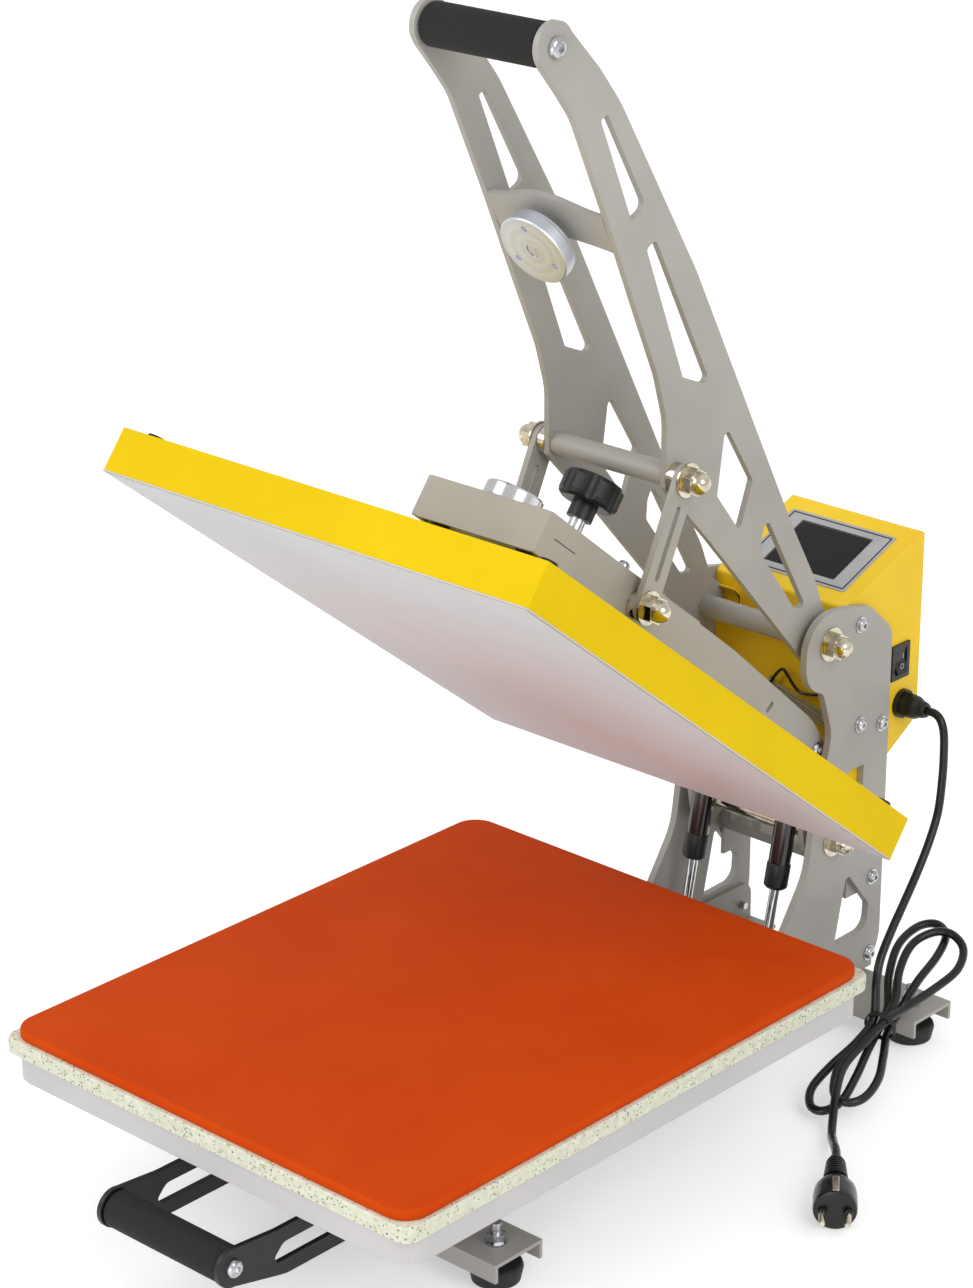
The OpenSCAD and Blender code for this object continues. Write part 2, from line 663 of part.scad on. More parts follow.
// Shoulder bolts that hang the platen from the housing floor
module guide_bolts() color([0.12, 0.12, 0.12]) opened()
    for (x = [-guide_x, guide_x]) for (y = guide_y) translate([x, y, 0]) {
        translate([0, 0, cover_top + ridge]) cylinder(d = guide_d - 2, h = mount_t);
        translate([0, 0, mount_top]) cylinder(d = guide_d, h = housing_bottom + 2 + floor_t - mount_top + 1);
        translate([0, 0, housing_bottom + 2 + floor_t + run_gap]) cylinder(d = guide_d + 6, h = 5);
    }

coil_wire = 2.4;
coil_turns = 4;
coil_d = 17;

module pressure_springs() color([0.15, 0.15, 0.15]) opened() {
    z0 = mount_top + coil_wire / 2 + run_gap;
    rise = housing_bottom + 2 - mount_top - coil_wire - 2 * run_gap;
    steps = coil_turns * 12;
    for (x = [-guide_x, guide_x]) for (y = guide_y) translate([x, y, z0])
        tube_along([for (i = [0:steps]) let (a = 360 * i / 12, s = i / steps)
            [coil_d / 2 * cos(a), coil_d / 2 * sin(a),
            rise * max(0, min(1, (s * coil_turns - 0.7) / (coil_turns - 1.4)))]], coil_wire / 2, 6);
}

module platen_cover() color([0.94, 0.82, 0.02]) opened() difference() {
    translate([0, cover_y, cover_bottom]) linear_extrude(cover_h) rounded_rect(cover_w, cover_l, 1.2);
    translate([0, cover_y, cover_bottom - 1]) linear_extrude(cover_h - cover_t + 1)
        rounded_rect(cover_w - 2 * cover_t, cover_l - 2 * cover_t, 0.4);
    for (x = bolt_x) for (y = bolt_y) translate([x, y, cover_top - 4])
        cylinder(d = bolt_d + 2 * run_gap, h = 6);
}

heater_w = cover_w - 2 * cover_t - 1;
heater_l = cover_l - 2 * cover_t - 1;
element_d = 8;
element_pitch = 48;
element_rows = 10;
element_half = cover_w / 2 - 48;
element_z = heater_top - element_d / 2 - 0.5;

// Centre line of the serpentine: straight runs joined by half turns
function serpentine_path() =
    let (first = cover_y - element_pitch * (element_rows - 1) / 2)
    [for (i = [0:element_rows - 1])
        let (y = first + i * element_pitch, s = i % 2 == 0 ? 1 : -1)
        each concat([[-s * element_half, y, element_z], [s * element_half, y, element_z]],
            i == element_rows - 1 ? []
                : [for (a = [-60:30:60]) [s * (element_half + element_pitch / 2 * cos(a)),
                    y + element_pitch / 2 * (1 + sin(a)), element_z]])];

module heater_plate() color([0.82, 0.81, 0.8]) opened() difference() {
    translate([0, cover_y, platen_bottom]) linear_extrude(heater_t) rounded_rect(heater_w, heater_l, 1);
    for (i = [0:element_rows - 1])
        let (y = cover_y + element_pitch * (i - (element_rows - 1) / 2), w = element_half,
            g = element_d / 2 + seat_gap)
        block([-w, y - g, heater_top - element_d - 1], [w, y + g, heater_top + 1]);
    for (i = [0:element_rows - 2])
        let (s = i % 2 == 0 ? 1 : -1, y = cover_y + element_pitch * (i + 1 - element_rows / 2),
            r = element_pitch / 2, g = element_d / 2 + seat_gap + 0.5)
        translate([s * element_half, y, heater_top - element_d - 1]) linear_extrude(element_d + 2)
            intersection() {
                difference() {
                    circle(r + g);
                    circle(r - g - 0.5);
                }
                translate([s > 0 ? -ridge : -r - g, -r - g]) square([r + g + ridge, 2 * (r + g)]);
            }
    for (x = bolt_x) for (y = bolt_y) translate([x, y, heater_top - 6]) cylinder(d = bolt_d + 2 * run_gap, h = 7);
}

module heating_element() color([0.5, 0.5, 0.5]) opened()
    tube_along(serpentine_path(), element_d / 2, 8);

module insulation_blanket() color([0.93, 0.92, 0.88]) opened() difference() {
    translate([0, cover_y, heater_top + seat_gap])
        linear_extrude(cover_top - cover_t - heater_top - 2 * seat_gap) rounded_rect(heater_w, heater_l, 1);
    for (x = bolt_x) for (y = bolt_y) translate([x, y, heater_top]) cylinder(d = 14 + 1, h = 40);
}

// Screws from the mounting plate into the heated plate, each in its spacer tube
module platen_bolts() color([0.7, 0.7, 0.72]) opened() for (x = bolt_x) for (y = bolt_y)
    translate([x, y, 0]) {
        translate([0, 0, heater_top - 5.5]) cylinder(d = bolt_d, h = mount_top - heater_top + 6);
        translate([0, 0, mount_top]) socket_head(12, 4, 5);
        translate([0, 0, heater_top]) cylinder(d = 14, h = cover_top - cover_t - heater_top);
    }

module pressure_screw() color([0.8, 0.8, 0.82]) opened() translate([0, knob_y, mount_top - 2 + run_gap])
    cylinder(d = press_screw_d, h = knob_top - 6 - mount_top);

knob_lobes = 7;

// Lobed hand knob with a stepped hub below
module pressure_knob() color([0.07, 0.07, 0.07]) opened() translate([0, knob_y, 0]) difference() {
    union() {
        translate([0, 0, knob_top - knob_h]) difference() {
            rotate_extrude() polygon([[0, 0], [knob_d / 2 - 4, 0], [knob_d / 2 - 1, 2],
                [knob_d / 2, 5], [knob_d / 2, knob_h - 4], [knob_d / 2 - 2, knob_h - 1],
                [knob_d / 2 - 5, knob_h], [0, knob_h]]);
            for (i = [0:knob_lobes - 1]) rotate(i * 360 / knob_lobes)
                translate([knob_d / 2 + 4.6, 0, -1]) cylinder(r = 7, h = knob_h + 2);
        }
        translate([0, 0, knob_top - knob_h - 12]) cylinder(d = 20, h = 13);
    }
    translate([0, 0, knob_top - knob_h - 13]) cylinder(d = press_screw_d + 2 * run_gap, h = knob_h + 13 - 6);
}

// GAS SPRINGS
module along_spring() translate([0, spring_foot[0], spring_foot[1]])
    rotate([spring_angle - 90, 0, 0]) children();

module eye(z) difference() {
    translate([-eye_w / 2, 0, z]) rotate([0, 90, 0]) cylinder(d = eye_d, h = eye_w);
    translate([-eye_w / 2 - 1, 0, z]) rotate([0, 90, 0]) cylinder(d = pin_d + 2 * run_gap, h = eye_w + 2);
}

module gas_cylinders() color([0.05, 0.05, 0.05]) for (x = [-spring_x, spring_x])
    translate([x, 0, 0]) along_spring() {
        eye(spring_len);
        difference() {
            union() {
                translate([0, 0, cylinder_low]) rotate_extrude() polygon([[0, 0], [cylinder_d / 2 - 1.5, 0],
                    [cylinder_d / 2, 1.5], [cylinder_d / 2, spring_len - cylinder_low - 20],
                    [cylinder_d / 2 - 2, spring_len - cylinder_low - 18],
                    [4, spring_len - cylinder_low - 17], [4, spring_len - cylinder_low - 7.5],
                    [0, spring_len - cylinder_low - 7.5]]);
            }
            translate([0, 0, cylinder_low - 1]) cylinder(d = rod_d + 2 * run_gap, h = spring_len - cylinder_low - 30);
        }
    }

module gas_rods() color([0.85, 0.85, 0.87]) for (x = [-spring_x, spring_x])
    translate([x, 0, 0]) along_spring() {
        eye(0);
        translate([0, 0, 7.5]) cylinder(d = rod_d, h = spring_len - 60 - 7.5);
    }

// LEVER, drawn open
lever_edge = [[-64, 846, 0], [-47, 826, 12], [-31, 806, 60], [5, 730, 300], [36, 661, 200],
    [63, 602, 60], [74, 566, 50], [74, 514, 3], [126, 460, 0], [247, 327, 0],
    [282, 348, 0], [271, 361, 0], [257, 394, 60], [225, 448, 100], [104, 672, 200],
    [18, 809, 120], [-4, 836, 40], [-40, 872.5, 0]];
lever_slots = [
    [[-3, 800, 2], [4, 803, 2], [47, 730, 7], [31, 723, 2]],
    [[48, 699, 3], [58, 704, 4], [124, 581, 4], [91, 595, 3]],
    [[142, 547, 4], [176, 495, 4], [162, 458, 3], [134, 493, 3]],
    [[189.5, 448, 6], [195, 460, 4], [247, 373, 3], [232, 376, 3], [188.5, 433, 6]]];

module lever_plate() difference() {
    plate(lever_in, lever_out) difference() {
        union() {
            polygon(outline(lever_edge));
            translate(grip_at) circle(head_r);
            translate(pivot_a) circle(pivot_r);
        }
        for (s = lever_slots) polygon(outline(s));
    }
    bar(pivot_a, bolt_a_d + 2 * run_gap, lever_in - 1, lever_out + 1);
    bar(pivot_b, bolt_b_d + 2 * run_gap, lever_in - 1, lever_out + 1);
    bar(grip_at, 8 + 2 * run_gap, lever_in - 1, lever_out + 1);
}

module lever_plate_right() color([0.67, 0.66, 0.64]) lever_plate();

module lever_plate_left() color([0.67, 0.66, 0.64]) mirror([1, 0, 0]) lever_plate();

// The cross plate's distance above the disc's face and in front of its axis
cross_lift = 23.5;
cross_shift = 8.6;
cross_t = 5;
disc_gap = 0.4;
disc_face = magnet_top + disc_gap;
disc_bolt_d = 8;

// Waved cross plate between the lever's plates, with its middle raised to carry the disc
module lever_cross_plate() color([0.68, 0.66, 0.64]) difference() {
    disc_axis() translate([0, -cross_shift, cross_lift]) linear_extrude(cross_t) polygon(concat(
        [for (i = [0:16]) let (s = i / 8 - 1) [s * lever_in, 17 - 5 * (1 - s * s)]],
        [for (i = [0:24]) let (s = 1 - i / 12) [s * lever_in, -14 - 9 * pow(cos(s * 90), 2)]]));
    disc_axis() cylinder(d = disc_bolt_d + 2 * run_gap, h = 60);
}

// The disc's axis, square to the magnet when the press is closed
module disc_axis() lever_opened() translate([0, magnet_y, disc_face]) children();

module armature_disc() color([0.8, 0.81, 0.82]) disc_axis() difference() {
    rotate_extrude() polygon([[0, 0], [disc_d / 2 - 1, 0], [disc_d / 2, 1], [disc_d / 2, disc_t - 3],
        [disc_d / 2 - 1, disc_t - 2], [disc_d / 2 - 1, disc_t], [0, disc_t]]);
    translate([0, 0, -1]) cylinder(d = 11, h = 4);
    translate([0, 0, -1]) cylinder(d = disc_bolt_d + 2 * run_gap, h = disc_t + 2);
    for (a = [30, 150, 270]) rotate(a) translate([disc_d / 2 - 9, 0, -1]) cylinder(d = 5, h = 3);
}

module armature_bolt() color([0.76, 0.76, 0.74]) disc_axis() {
    translate([0, 0, 0.8]) cylinder(d = 10.6, h = 2.2);
    translate([0, 0, 1]) cylinder(d = disc_bolt_d, h = 46);
    translate([0, 0, disc_t]) hex_nut(15, 6.5);
    translate([0, 0, cross_lift - 5]) hex_nut(14, 5);
    translate([0, 0, cross_lift + cross_t]) hex_nut(14, 6.5);
}

module lever_tubes() color([0.68, 0.67, 0.65]) for (p = [[pivot_a, bolt_a_d], [pivot_b, bolt_b_d]])
    difference() {
        bar(p[0], tube_d, -lever_in, lever_in);
        bar(p[0], p[1] + 2 * run_gap, -lever_in - 1, lever_in + 1);
    }

module lever_grip() color([0.05, 0.05, 0.05]) difference() {
    bar(grip_at, grip_d, -lever_in + seat_gap, lever_in - seat_gap);
    bar(grip_at, 18 + 2 * run_gap, -lever_in, lever_in);
}

module lever_grip_rod() color([0.78, 0.78, 0.8]) grip_rod(grip_at, 18, 8, lever_in, lever_out, 16);

// Bolts through the lever's upper tube that carry the toggle links
module link_upper_bolts() color([0.8, 0.79, 0.74]) {
    bar(pivot_b, bolt_b_d, -link_out - 2, link_out + 2);
    both_sides() {
        difference() {
            bar(pivot_b, 22, lever_out, link_in - run_gap);
            bar(pivot_b, bolt_b_d - 1, lever_out - 1, link_in + 1);
        }
        on_side(pivot_b, link_out + run_gap) {
            cylinder(d = 26, h = 1.6);
            translate([0, 0, 1.6]) dome_nut(19, bolt_b_d);
        }
    }
}

// Toggle link: a bar with round ends and a long narrow slot
module toggle_link() translate([0, pivot_c[0], pivot_c[1]]) rotate([link_angle, 0, 0])
    difference() {
        plate(link_in, link_out) difference() {
            union() {
                circle(d = link_w);
                translate([link_len, 0]) circle(d = link_w);
                translate([0, -link_w / 2]) square([link_len, link_w]);
            }
            polygon(outline([[20, -2.4, 2.3], [link_len - 20, -2.4, 2.3],
                [link_len - 20, 2.4, 2.3], [20, 2.4, 2.3]]));
        }
        for (y = [0, link_len]) bar([y, 0], bolt_b_d + 2 * run_gap, link_in - 1, link_out + 1);
    }

module toggle_links() color([0.7, 0.69, 0.67]) both_sides() toggle_link();

// Lower link pins with spacer and dome nut; each stops just short of the arm's side
module link_lower_pins() color([0.8, 0.79, 0.74]) both_sides() {
    bar(pivot_c, bolt_b_d, arm_out + seat_gap, link_out + 2);
    difference() {
        bar(pivot_c, 22, arm_out + seat_gap, link_in);
        bar(pivot_c, bolt_b_d - 1, arm_out, link_in + 1);
    }
    on_side(pivot_c, link_out) {
        cylinder(d = 26, h = 1.6);
        translate([0, 0, 1.6]) dome_nut(19, bolt_b_d);
    }
}

// CONTROL BOX
box_side = [[box_front, 204, 3], [box_front, 361, 3], [388, 399, 4], [box_rear, 396, 2],
    [box_rear, 238, 4], [355, 216, 10], [320, 204, 20]];

function inset_side(d) = [[box_front + d, 204 + d], [box_front + d, 361 - 0.72 * d],
    [388 - 0.4 * d, 399 - 1.1 * d], [box_rear + 1, 399 - 1.1 * d],
    [box_rear + 1, 238 + 1.5 * d], [355 - 0.2 * d, 216 + 1.2 * d], [320, 204 + d]];

module control_box_shell() color([0.92, 0.79, 0.1]) difference() {
    plate(-box_half, box_half) polygon(outline(box_side));
    plate(-box_half + box_t, box_half - box_t) polygon(inset_side(box_t));
    on_panel() block([-34, panel_len / 2 - 26, -4], [34, panel_len / 2 + 26, 2]);
    plate(box_half - 3, box_half + 1) translate(switch_at)
        square([switch_w - 4, switch_l - 4], center = true);
    bar(gland_at, 16 + 2 * run_gap, box_half - 3, box_half + 1);
    plate_xz(box_front - 1, box_front + 3) translate([20, 232]) circle(d = 14);
    for (s = [-1, 1]) for (p = [upright_screw_at[4], upright_screw_at[5], upright_screw_at[6]])
        bar(p, screw_d + 2 * run_gap, s > 0 ? box_half - 3 : -box_half - 1, s > 0 ? box_half + 1 : -box_half + 3);
}

module on_panel() translate([0, panel_low[0], panel_low[1]]) rotate([panel_angle, 0, 0]) children();

module control_box_back() color([0.92, 0.79, 0.1]) difference() {
    block([-box_half + box_t + seat_gap, box_rear - box_t, 242], [box_half - box_t - seat_gap, box_rear, 396 - box_t - 2]);
    for (i = [0:5]) plate_xz(box_rear - 3, box_rear + 1) translate([-30 + 12 * i, 320])
        rounded_rect(4, 36, 1.9);
}

overlay_t = 0.6;

module display_overlay() color([0.66, 0.66, 0.66]) on_panel() translate([0, panel_len / 2, ridge])
    difference() {
        linear_extrude(overlay_t) rounded_rect(104, 74, 2);
        translate([0, 0, -1]) linear_extrude(3) rounded_rect(68, 52, 1);
    }

module lcd_screen() color([0.08, 0.08, 0.09]) on_panel() translate([0, panel_len / 2, -3])
    linear_extrude(3 + overlay_t) rounded_rect(67.6, 51.6, 1);

module control_board() color([0.1, 0.35, 0.18]) on_panel() {
    block([-46, 10, -16], [46, panel_len - 12, -14.4]);
    for (x = [-40, 40]) for (y = [16, panel_len - 18]) translate([x, y, -16]) cylinder(d = 6, h = 16 - box_t - 2 * run_gap);
    block([-30, 20, -14.5], [30, panel_len - 24, -3 - ridge]);
}

module switch_housing() color([0.06, 0.06, 0.06]) difference() {
    union() {
        plate(box_half, box_half + 2) translate(switch_at) square([switch_w, switch_l], center = true);
        plate(box_half - 18, box_half + 1) translate(switch_at)
            square([switch_w - 4.2, switch_l - 4.2], center = true);
    }
    plate(box_half - 9, box_half + 3) translate(switch_at)
        square([switch_w - 8, switch_l - 8], center = true);
    bar([switch_at[0], switch_at[1]], 1, box_half - 12, box_half - 9);
}

rocker_rise = 3.6;

// Rocker: its two faces meet at a shallow angle over the pivot
module switch_rocker() color([0.1, 0.1, 0.1]) intersection() {
    translate([box_half - 3, switch_at[0], switch_at[1]]) rotate([0, -8, 0])
        plate_xz(-(switch_w - 9.4) / 2, (switch_w - 9.4) / 2) polygon([[-4, -(switch_l - 14) / 2],
            [-4, (switch_l - 14) / 2], [4 + rocker_rise * 0.5, (switch_l - 10) / 2],
            [rocker_rise, 0], [4 + rocker_rise * 0.5, -(switch_l - 10) / 2]]);
    block([box_half - 8.5, switch_at[0] - 20, switch_at[1] - 20], [box_half + 9, switch_at[0] + 20, switch_at[1] + 20]);
}

gland_len = 26;

// Cable gland with its nut and ribbed bend relief
module cable_gland() color([0.05, 0.05, 0.05]) difference() {
    union() {
        bar(gland_at, 16, box_half - box_t - 6, box_half + 1);
        bar(gland_at, gland_d + 2, box_half, box_half + 4);
        on_side(gland_at, box_half + 4) cylinder(d = gland_d, h = 7, $fn = 6);
        on_side(gland_at, box_half + 11) rotate_extrude() polygon([[0, 0], [gland_d / 2 - 1, 0],
            [gland_d / 2 - 1.6, 5], [gland_d / 2 - 3.6, 9], [cord_d / 2 + 3, gland_len - 13],
            [cord_d / 2 + 2, gland_len - 11], [0, gland_len - 11]]);
        translate([box_half - box_t - 5, gland_at[0], gland_at[1]]) rotate([0, 90, 0]) hex_nut(20, 5);
    }
    bar(gland_at, cord_d, box_half - box_t - 7, box_half + gland_len - 12);
}

// Braided leads from the arm's rear cross bar to the control box
module arm_cable() color([0.12, 0.12, 0.12]) tube_along([[20, 242.8, 266.3], [20, 249, 261.5],
    [20, 262, 251.4], [20, 272, 243.6], [20, 281, 237.2], [20, 289, 233.4], [20, 297, 232],
    [20, 306, 232]], 4, 8);

module power_cord() color([0.05, 0.05, 0.05]) for (p = [cord_points, tail_points])
    tube_along(p, cord_d / 2, 10, [0, 1, 0]);

hank_w = 56;
hank_h = 2 * cord_d;
hank_len = norm(hank_to - hank_from);
hank_turn = atan2(hank_to[1] - hank_from[1], hank_to[0] - hank_from[0]);
hank_slope = asin((hank_to[2] - hank_from[2]) / hank_len);

module cord_hank() color([0.05, 0.05, 0.05]) translate(hank_from) rotate([0, -hank_slope, hank_turn])
    translate([0, 0, -hank_h / 2]) linear_extrude(hank_h) polygon(outline(
        [[0, -hank_w / 2, hank_w / 2 - 0.1], [hank_len, -hank_w / 2, hank_w / 2 - 0.1],
        [hank_len, hank_w / 2, hank_w / 2 - 0.1], [0, hank_w / 2, hank_w / 2 - 0.1]]));

plug_w = 38;

// Two-pin earthed plug, lying on the table at the end of the lead
module mains_plug() color([0.05, 0.05, 0.05]) translate(plug_at) rotate([0, 90, plug_turn]) {
    cylinder(d1 = cord_d + 3, d2 = 16, h = 36);
    translate([0, 0, 36]) rotate_extrude() polygon([[0, 0], [9, 0], [16, 8], [plug_w / 2, 16],
        [plug_w / 2, 34], [17, 36], [0, 36]]);
    for (y = [-9.5, 9.5]) translate([0, y, 72]) cylinder(d = 4.8, h = 19);
}

front_foot_bracket();
rear_foot_bracket();
rubber_feet();
foot_studs();
base_channels();
frame_screws();
upright_left();
upright_right();
upright_cross_bracket();
slide_rails_fixed();
spring_anchor();
arm_pivot_shaft();
lever_pivot_shaft();
control_box_shell();
control_box_back();
display_overlay();
lcd_screen();
switch_housing();
switch_rocker();
control_board();
cable_gland();
slide_rails_moving();
bed_carriage();
bed_tray();
felt_board();
silicone_pad();
pull_arms();
pull_grip();
pull_grip_rod();
arm_housing();
electromagnet();
pressure_nut();
spring_upper_pins();
mounting_plate();
guide_bolts();
pressure_springs();
platen_cover();
heater_plate();
heating_element();
insulation_blanket();
platen_bolts();
pressure_screw();
pressure_knob();
gas_cylinders();
gas_rods();
lever_plate_left();
lever_plate_right();
lever_cross_plate();
lever_tubes();
lever_grip();
lever_grip_rod();
armature_disc();
armature_bolt();
link_upper_bolts();
toggle_links();
link_lower_pins();
arm_cable();
mains_plug();
power_cord();
cord_hank();
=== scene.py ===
"""Dry mounting press with a slide-out bed: finishes, soft pieces, lead and stage."""

import json
import math

import bpy
import numpy as np
from bpy.props import FloatProperty, FloatVectorProperty, PointerProperty
from mathutils import Matrix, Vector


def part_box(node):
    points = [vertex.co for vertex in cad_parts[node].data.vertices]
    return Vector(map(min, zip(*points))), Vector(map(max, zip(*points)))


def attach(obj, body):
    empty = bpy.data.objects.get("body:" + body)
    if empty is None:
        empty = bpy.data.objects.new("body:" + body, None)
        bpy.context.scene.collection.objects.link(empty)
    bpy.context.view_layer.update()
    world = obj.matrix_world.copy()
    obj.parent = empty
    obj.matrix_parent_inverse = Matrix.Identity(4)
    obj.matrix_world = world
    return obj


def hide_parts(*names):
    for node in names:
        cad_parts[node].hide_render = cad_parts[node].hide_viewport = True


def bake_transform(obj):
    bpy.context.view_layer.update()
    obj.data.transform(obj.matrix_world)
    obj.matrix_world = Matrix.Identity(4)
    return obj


bl_info = {
    "name": "Dry mounting press",
    "version": (1, 0, 0),
    "blender": (4, 5, 0),
    "location": "View3D > Sidebar > Press",
    "description": "Finishes and soft pieces of a clamshell dry mounting press",
    "category": "Object",
}

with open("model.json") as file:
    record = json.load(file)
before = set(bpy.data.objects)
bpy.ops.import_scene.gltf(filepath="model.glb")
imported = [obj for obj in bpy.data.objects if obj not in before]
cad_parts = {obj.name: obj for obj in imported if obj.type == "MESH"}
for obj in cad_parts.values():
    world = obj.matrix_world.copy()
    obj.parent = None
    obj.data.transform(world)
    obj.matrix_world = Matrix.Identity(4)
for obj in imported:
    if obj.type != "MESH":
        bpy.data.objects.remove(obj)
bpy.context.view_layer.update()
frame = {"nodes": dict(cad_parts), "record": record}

MM = 0.001

# Pivots and angles of the arm and the lever, as part.scad has them
ARM_PIVOT = np.array([0.0, 0.278, 0.1684])
LEVER_PIVOT = np.array([0.0, 0.2646, 0.340])
ARM_OPEN = math.radians(37.92)
LEVER_TRAVEL = math.radians(62.6)
# Place in Y of the magnet and its armature disc on the closed press, in mm
MAGNET_Y = -177.3


def linear(hexcode):
    """sRGB hex to linear colour: c / 12.92 below 0.04045, else ((c + 0.055) / 1.055) ^ 2.4."""
    code = hexcode.lstrip("#")
    c = np.array([int(code[i : i + 2], 16) for i in (0, 2, 4)]) / 255
    c = np.where(c <= 0.04045, c / 12.92, ((c + 0.055) / 1.055) ** 2.4)
    return (*c.tolist(), 1.0)


def metres(points):
    """Places in mm, in metres."""
    return np.asarray(points, float) * MM


def swung(points, pivot, angle):
    """Points turned by an angle about the X axis through a pivot."""
    q = np.asarray(points, float) - pivot
    c, s = math.cos(angle), math.sin(angle)
    y = q[..., 1] * c - q[..., 2] * s
    z = q[..., 1] * s + q[..., 2] * c
    return np.stack([q[..., 0], y, z], -1) + pivot


def opened(points):
    """Places of the closed press, in mm, carried to the open arm, in metres."""
    return swung(metres(points), ARM_PIVOT, -ARM_OPEN)


def lever_opened(points):
    """Places of the closed press, in mm, carried to the raised lever, in metres."""
    return swung(metres(points), LEVER_PIVOT, -LEVER_TRAVEL)


def loft(rings, closed=False):
    """Skin over rings (k, n, 3): ring i is joined to ring i + 1 by quads.

    Open lofts are closed with a fan from each end ring to its middle; a closed loft joins
    its last ring to its first.
    """
    rings = np.asarray(rings, float)
    k, n = rings.shape[:2]
    verts = rings.reshape(-1, 3)
    i = np.arange(k if closed else k - 1)[:, None]
    j = np.arange(n)[None, :]
    a = i * n + j
    b = i * n + (j + 1) % n
    c = (i + 1) % k * n + (j + 1) % n
    d = (i + 1) % k * n + j
    quads = np.stack([a, b, c, d], -1).reshape(-1, 4)
    faces = quads.tolist()
    if not closed:
        verts = np.vstack([verts, rings[0].mean(0), rings[-1].mean(0)])
        lo, hi = k * n, k * n + 1
        s = np.arange(n)
        t = (s + 1) % n
        faces += np.stack([np.full(n, lo), t, s], -1).tolist()
        faces += np.stack([np.full(n, hi), (k - 1) * n + s, (k - 1) * n + t], -1).tolist()
    return verts, faces


def outward(verts, faces):
    """Turns the faces round if the skin's signed volume is negative.

    The volume is the sum over its triangles of v0 . (v1 x v2) / 6.
    """
    tri = np.array([f[:3] for f in faces] + [(f[0], f[2], f[3]) for f in faces if len(f) == 4])
    p = verts[tri]
    volume = np.einsum("ij,ij->i", p[:, 0], np.cross(p[:, 1], p[:, 2])).sum()
    return faces if volume > 0 else [f[::-1] for f in faces]


def ring_outline(width, length, radius, per_corner):
    """Corner centres and outward normals round a rectangle with round corners."""
    a = np.linspace(0, math.pi / 2, per_corner)
    quarter = np.concatenate([a + q * math.pi / 2 for q in range(4)])
    normal = np.stack([np.cos(quarter), np.sin(quarter)], -1)
    sign = np.array([[1, 1], [-1, 1], [-1, -1], [1, -1]])
    centre = sign * [width / 2 - radius, length / 2 - radius]
    return np.repeat(centre, per_corner, 0), normal


def slab(width, length, radius, centre, profile, ripple=0.0):
    """Board with round corners: at height z its outline is drawn in by an inset.

    A point is corner centre + (radius - inset + ripple) x normal; the ripple is a sum of
    three sines round the edge, for a board that was cut by hand.
    """
    corner, normal = ring_outline(width, length, radius, 14)
    t = np.arange(len(corner)) / len(corner) * 2 * math.pi
    wave = ripple * (np.sin(5 * t) + np.sin(11 * t + 1) + np.sin(23 * t + 2)) / 3
    rings = []
    for inset, z in profile:
        xy = corner + (radius - inset + wave)[:, None] * normal + centre
        rings.append(np.column_stack([xy, np.full(len(xy), z)]))
    return loft(rings)


def frame_plate(outer, inner, radius, z0, z1):
    """Flat frame: the band between two rounded rectangles, from height z0 to z1."""
    band = ((outer, radius, z0), (outer, radius, z1), (inner, 0.3, z1), (inner, 0.3, z0))
    rings = []
    for (w, l), r, z in band:
        c, n = ring_outline(w, l, r, 6)
        rings.append(np.column_stack([c + r * n, np.full(len(c), z)]))
    return loft(rings, closed=True)


def turned(profile, sides):
    """Surface of revolution about +Z: radius r at height z gives (r cos a, r sin a, z)."""
    profile = np.asarray(profile, float)
    a = np.linspace(0, 2 * math.pi, sides, endpoint=False)
    r, z = profile[:, :1], profile[:, 1:]
    rings = np.stack([r * np.cos(a), r * np.sin(a), np.broadcast_to(z, (len(r), sides))], -1)
    return loft(rings)


def along(direction, at, points):
    """Points whose +Z is turned to a direction and moved to a place."""
    d = np.asarray(direction, float)
    d = d / np.linalg.norm(d)
    side = np.cross([0, 0, 1.0] if abs(d[2]) < 0.9 else [1.0, 0, 0], d)
    side /= np.linalg.norm(side)
    return points @ np.stack([side, np.cross(d, side), d]) + at


def smooth_path(points, step):
    """Catmull-Rom curve through the points, then evened out to equal steps of length."""
    p = np.asarray(points, float)
    ends = np.vstack([2 * p[0] - p[1], p, 2 * p[-1] - p[-2]])
    t = np.linspace(0, 1, 24, endpoint=False)[:, None]
    a, b, c, d = ends[:-3], ends[1:-2], ends[2:-1], ends[3:]
    parts = [
        0.5 * (2 * b[i] + (c[i] - a[i]) * t + (2 * a[i] - 5 * b[i] + 4 * c[i] - d[i]) * t**2
               + (3 * b[i] - a[i] - 3 * c[i] + d[i]) * t**3)
        for i in range(len(a))
    ]
    dense = np.vstack([*parts, p[-1:]])
    s = np.concatenate([[0], np.linalg.norm(np.diff(dense, axis=0), axis=1).cumsum()])
    n = max(8, round(s[-1] / step))
    even = np.linspace(0, s[-1], n + 1)
    return np.stack([np.interp(even, s, dense[:, k]) for k in range(3)], -1)


def path_frames(path, start):
    """Two directions square to the path at each point, carried along it without twist."""
    tangent = np.gradient(path, axis=0)
    tangent /= np.linalg.norm(tangent, axis=1)[:, None]
    side = np.asarray(start, float)
    sides = []
    for t in tangent:
        side = side - t * (side @ t)
        side /= np.linalg.norm(side)
        sides.append(side)
    sides = np.array(sides)
    return sides, np.cross(tangent, sides)


def tube(path, radius, sides, start=(0, 1, 0)):
    """Round tube: centre line + radius x (cos a x side + sin a x other side)."""
    u, v = path_frames(path, start)
    a = np.linspace(0, 2 * math.pi, sides, endpoint=False)[None, :, None]
    return loft(path[:, None] + radius * (np.cos(a) * u[:, None] + np.sin(a) * v[:, None]))


def moved(skin, place):
    """A skin with its points carried by a function."""
    return place(skin[0]), skin[1]


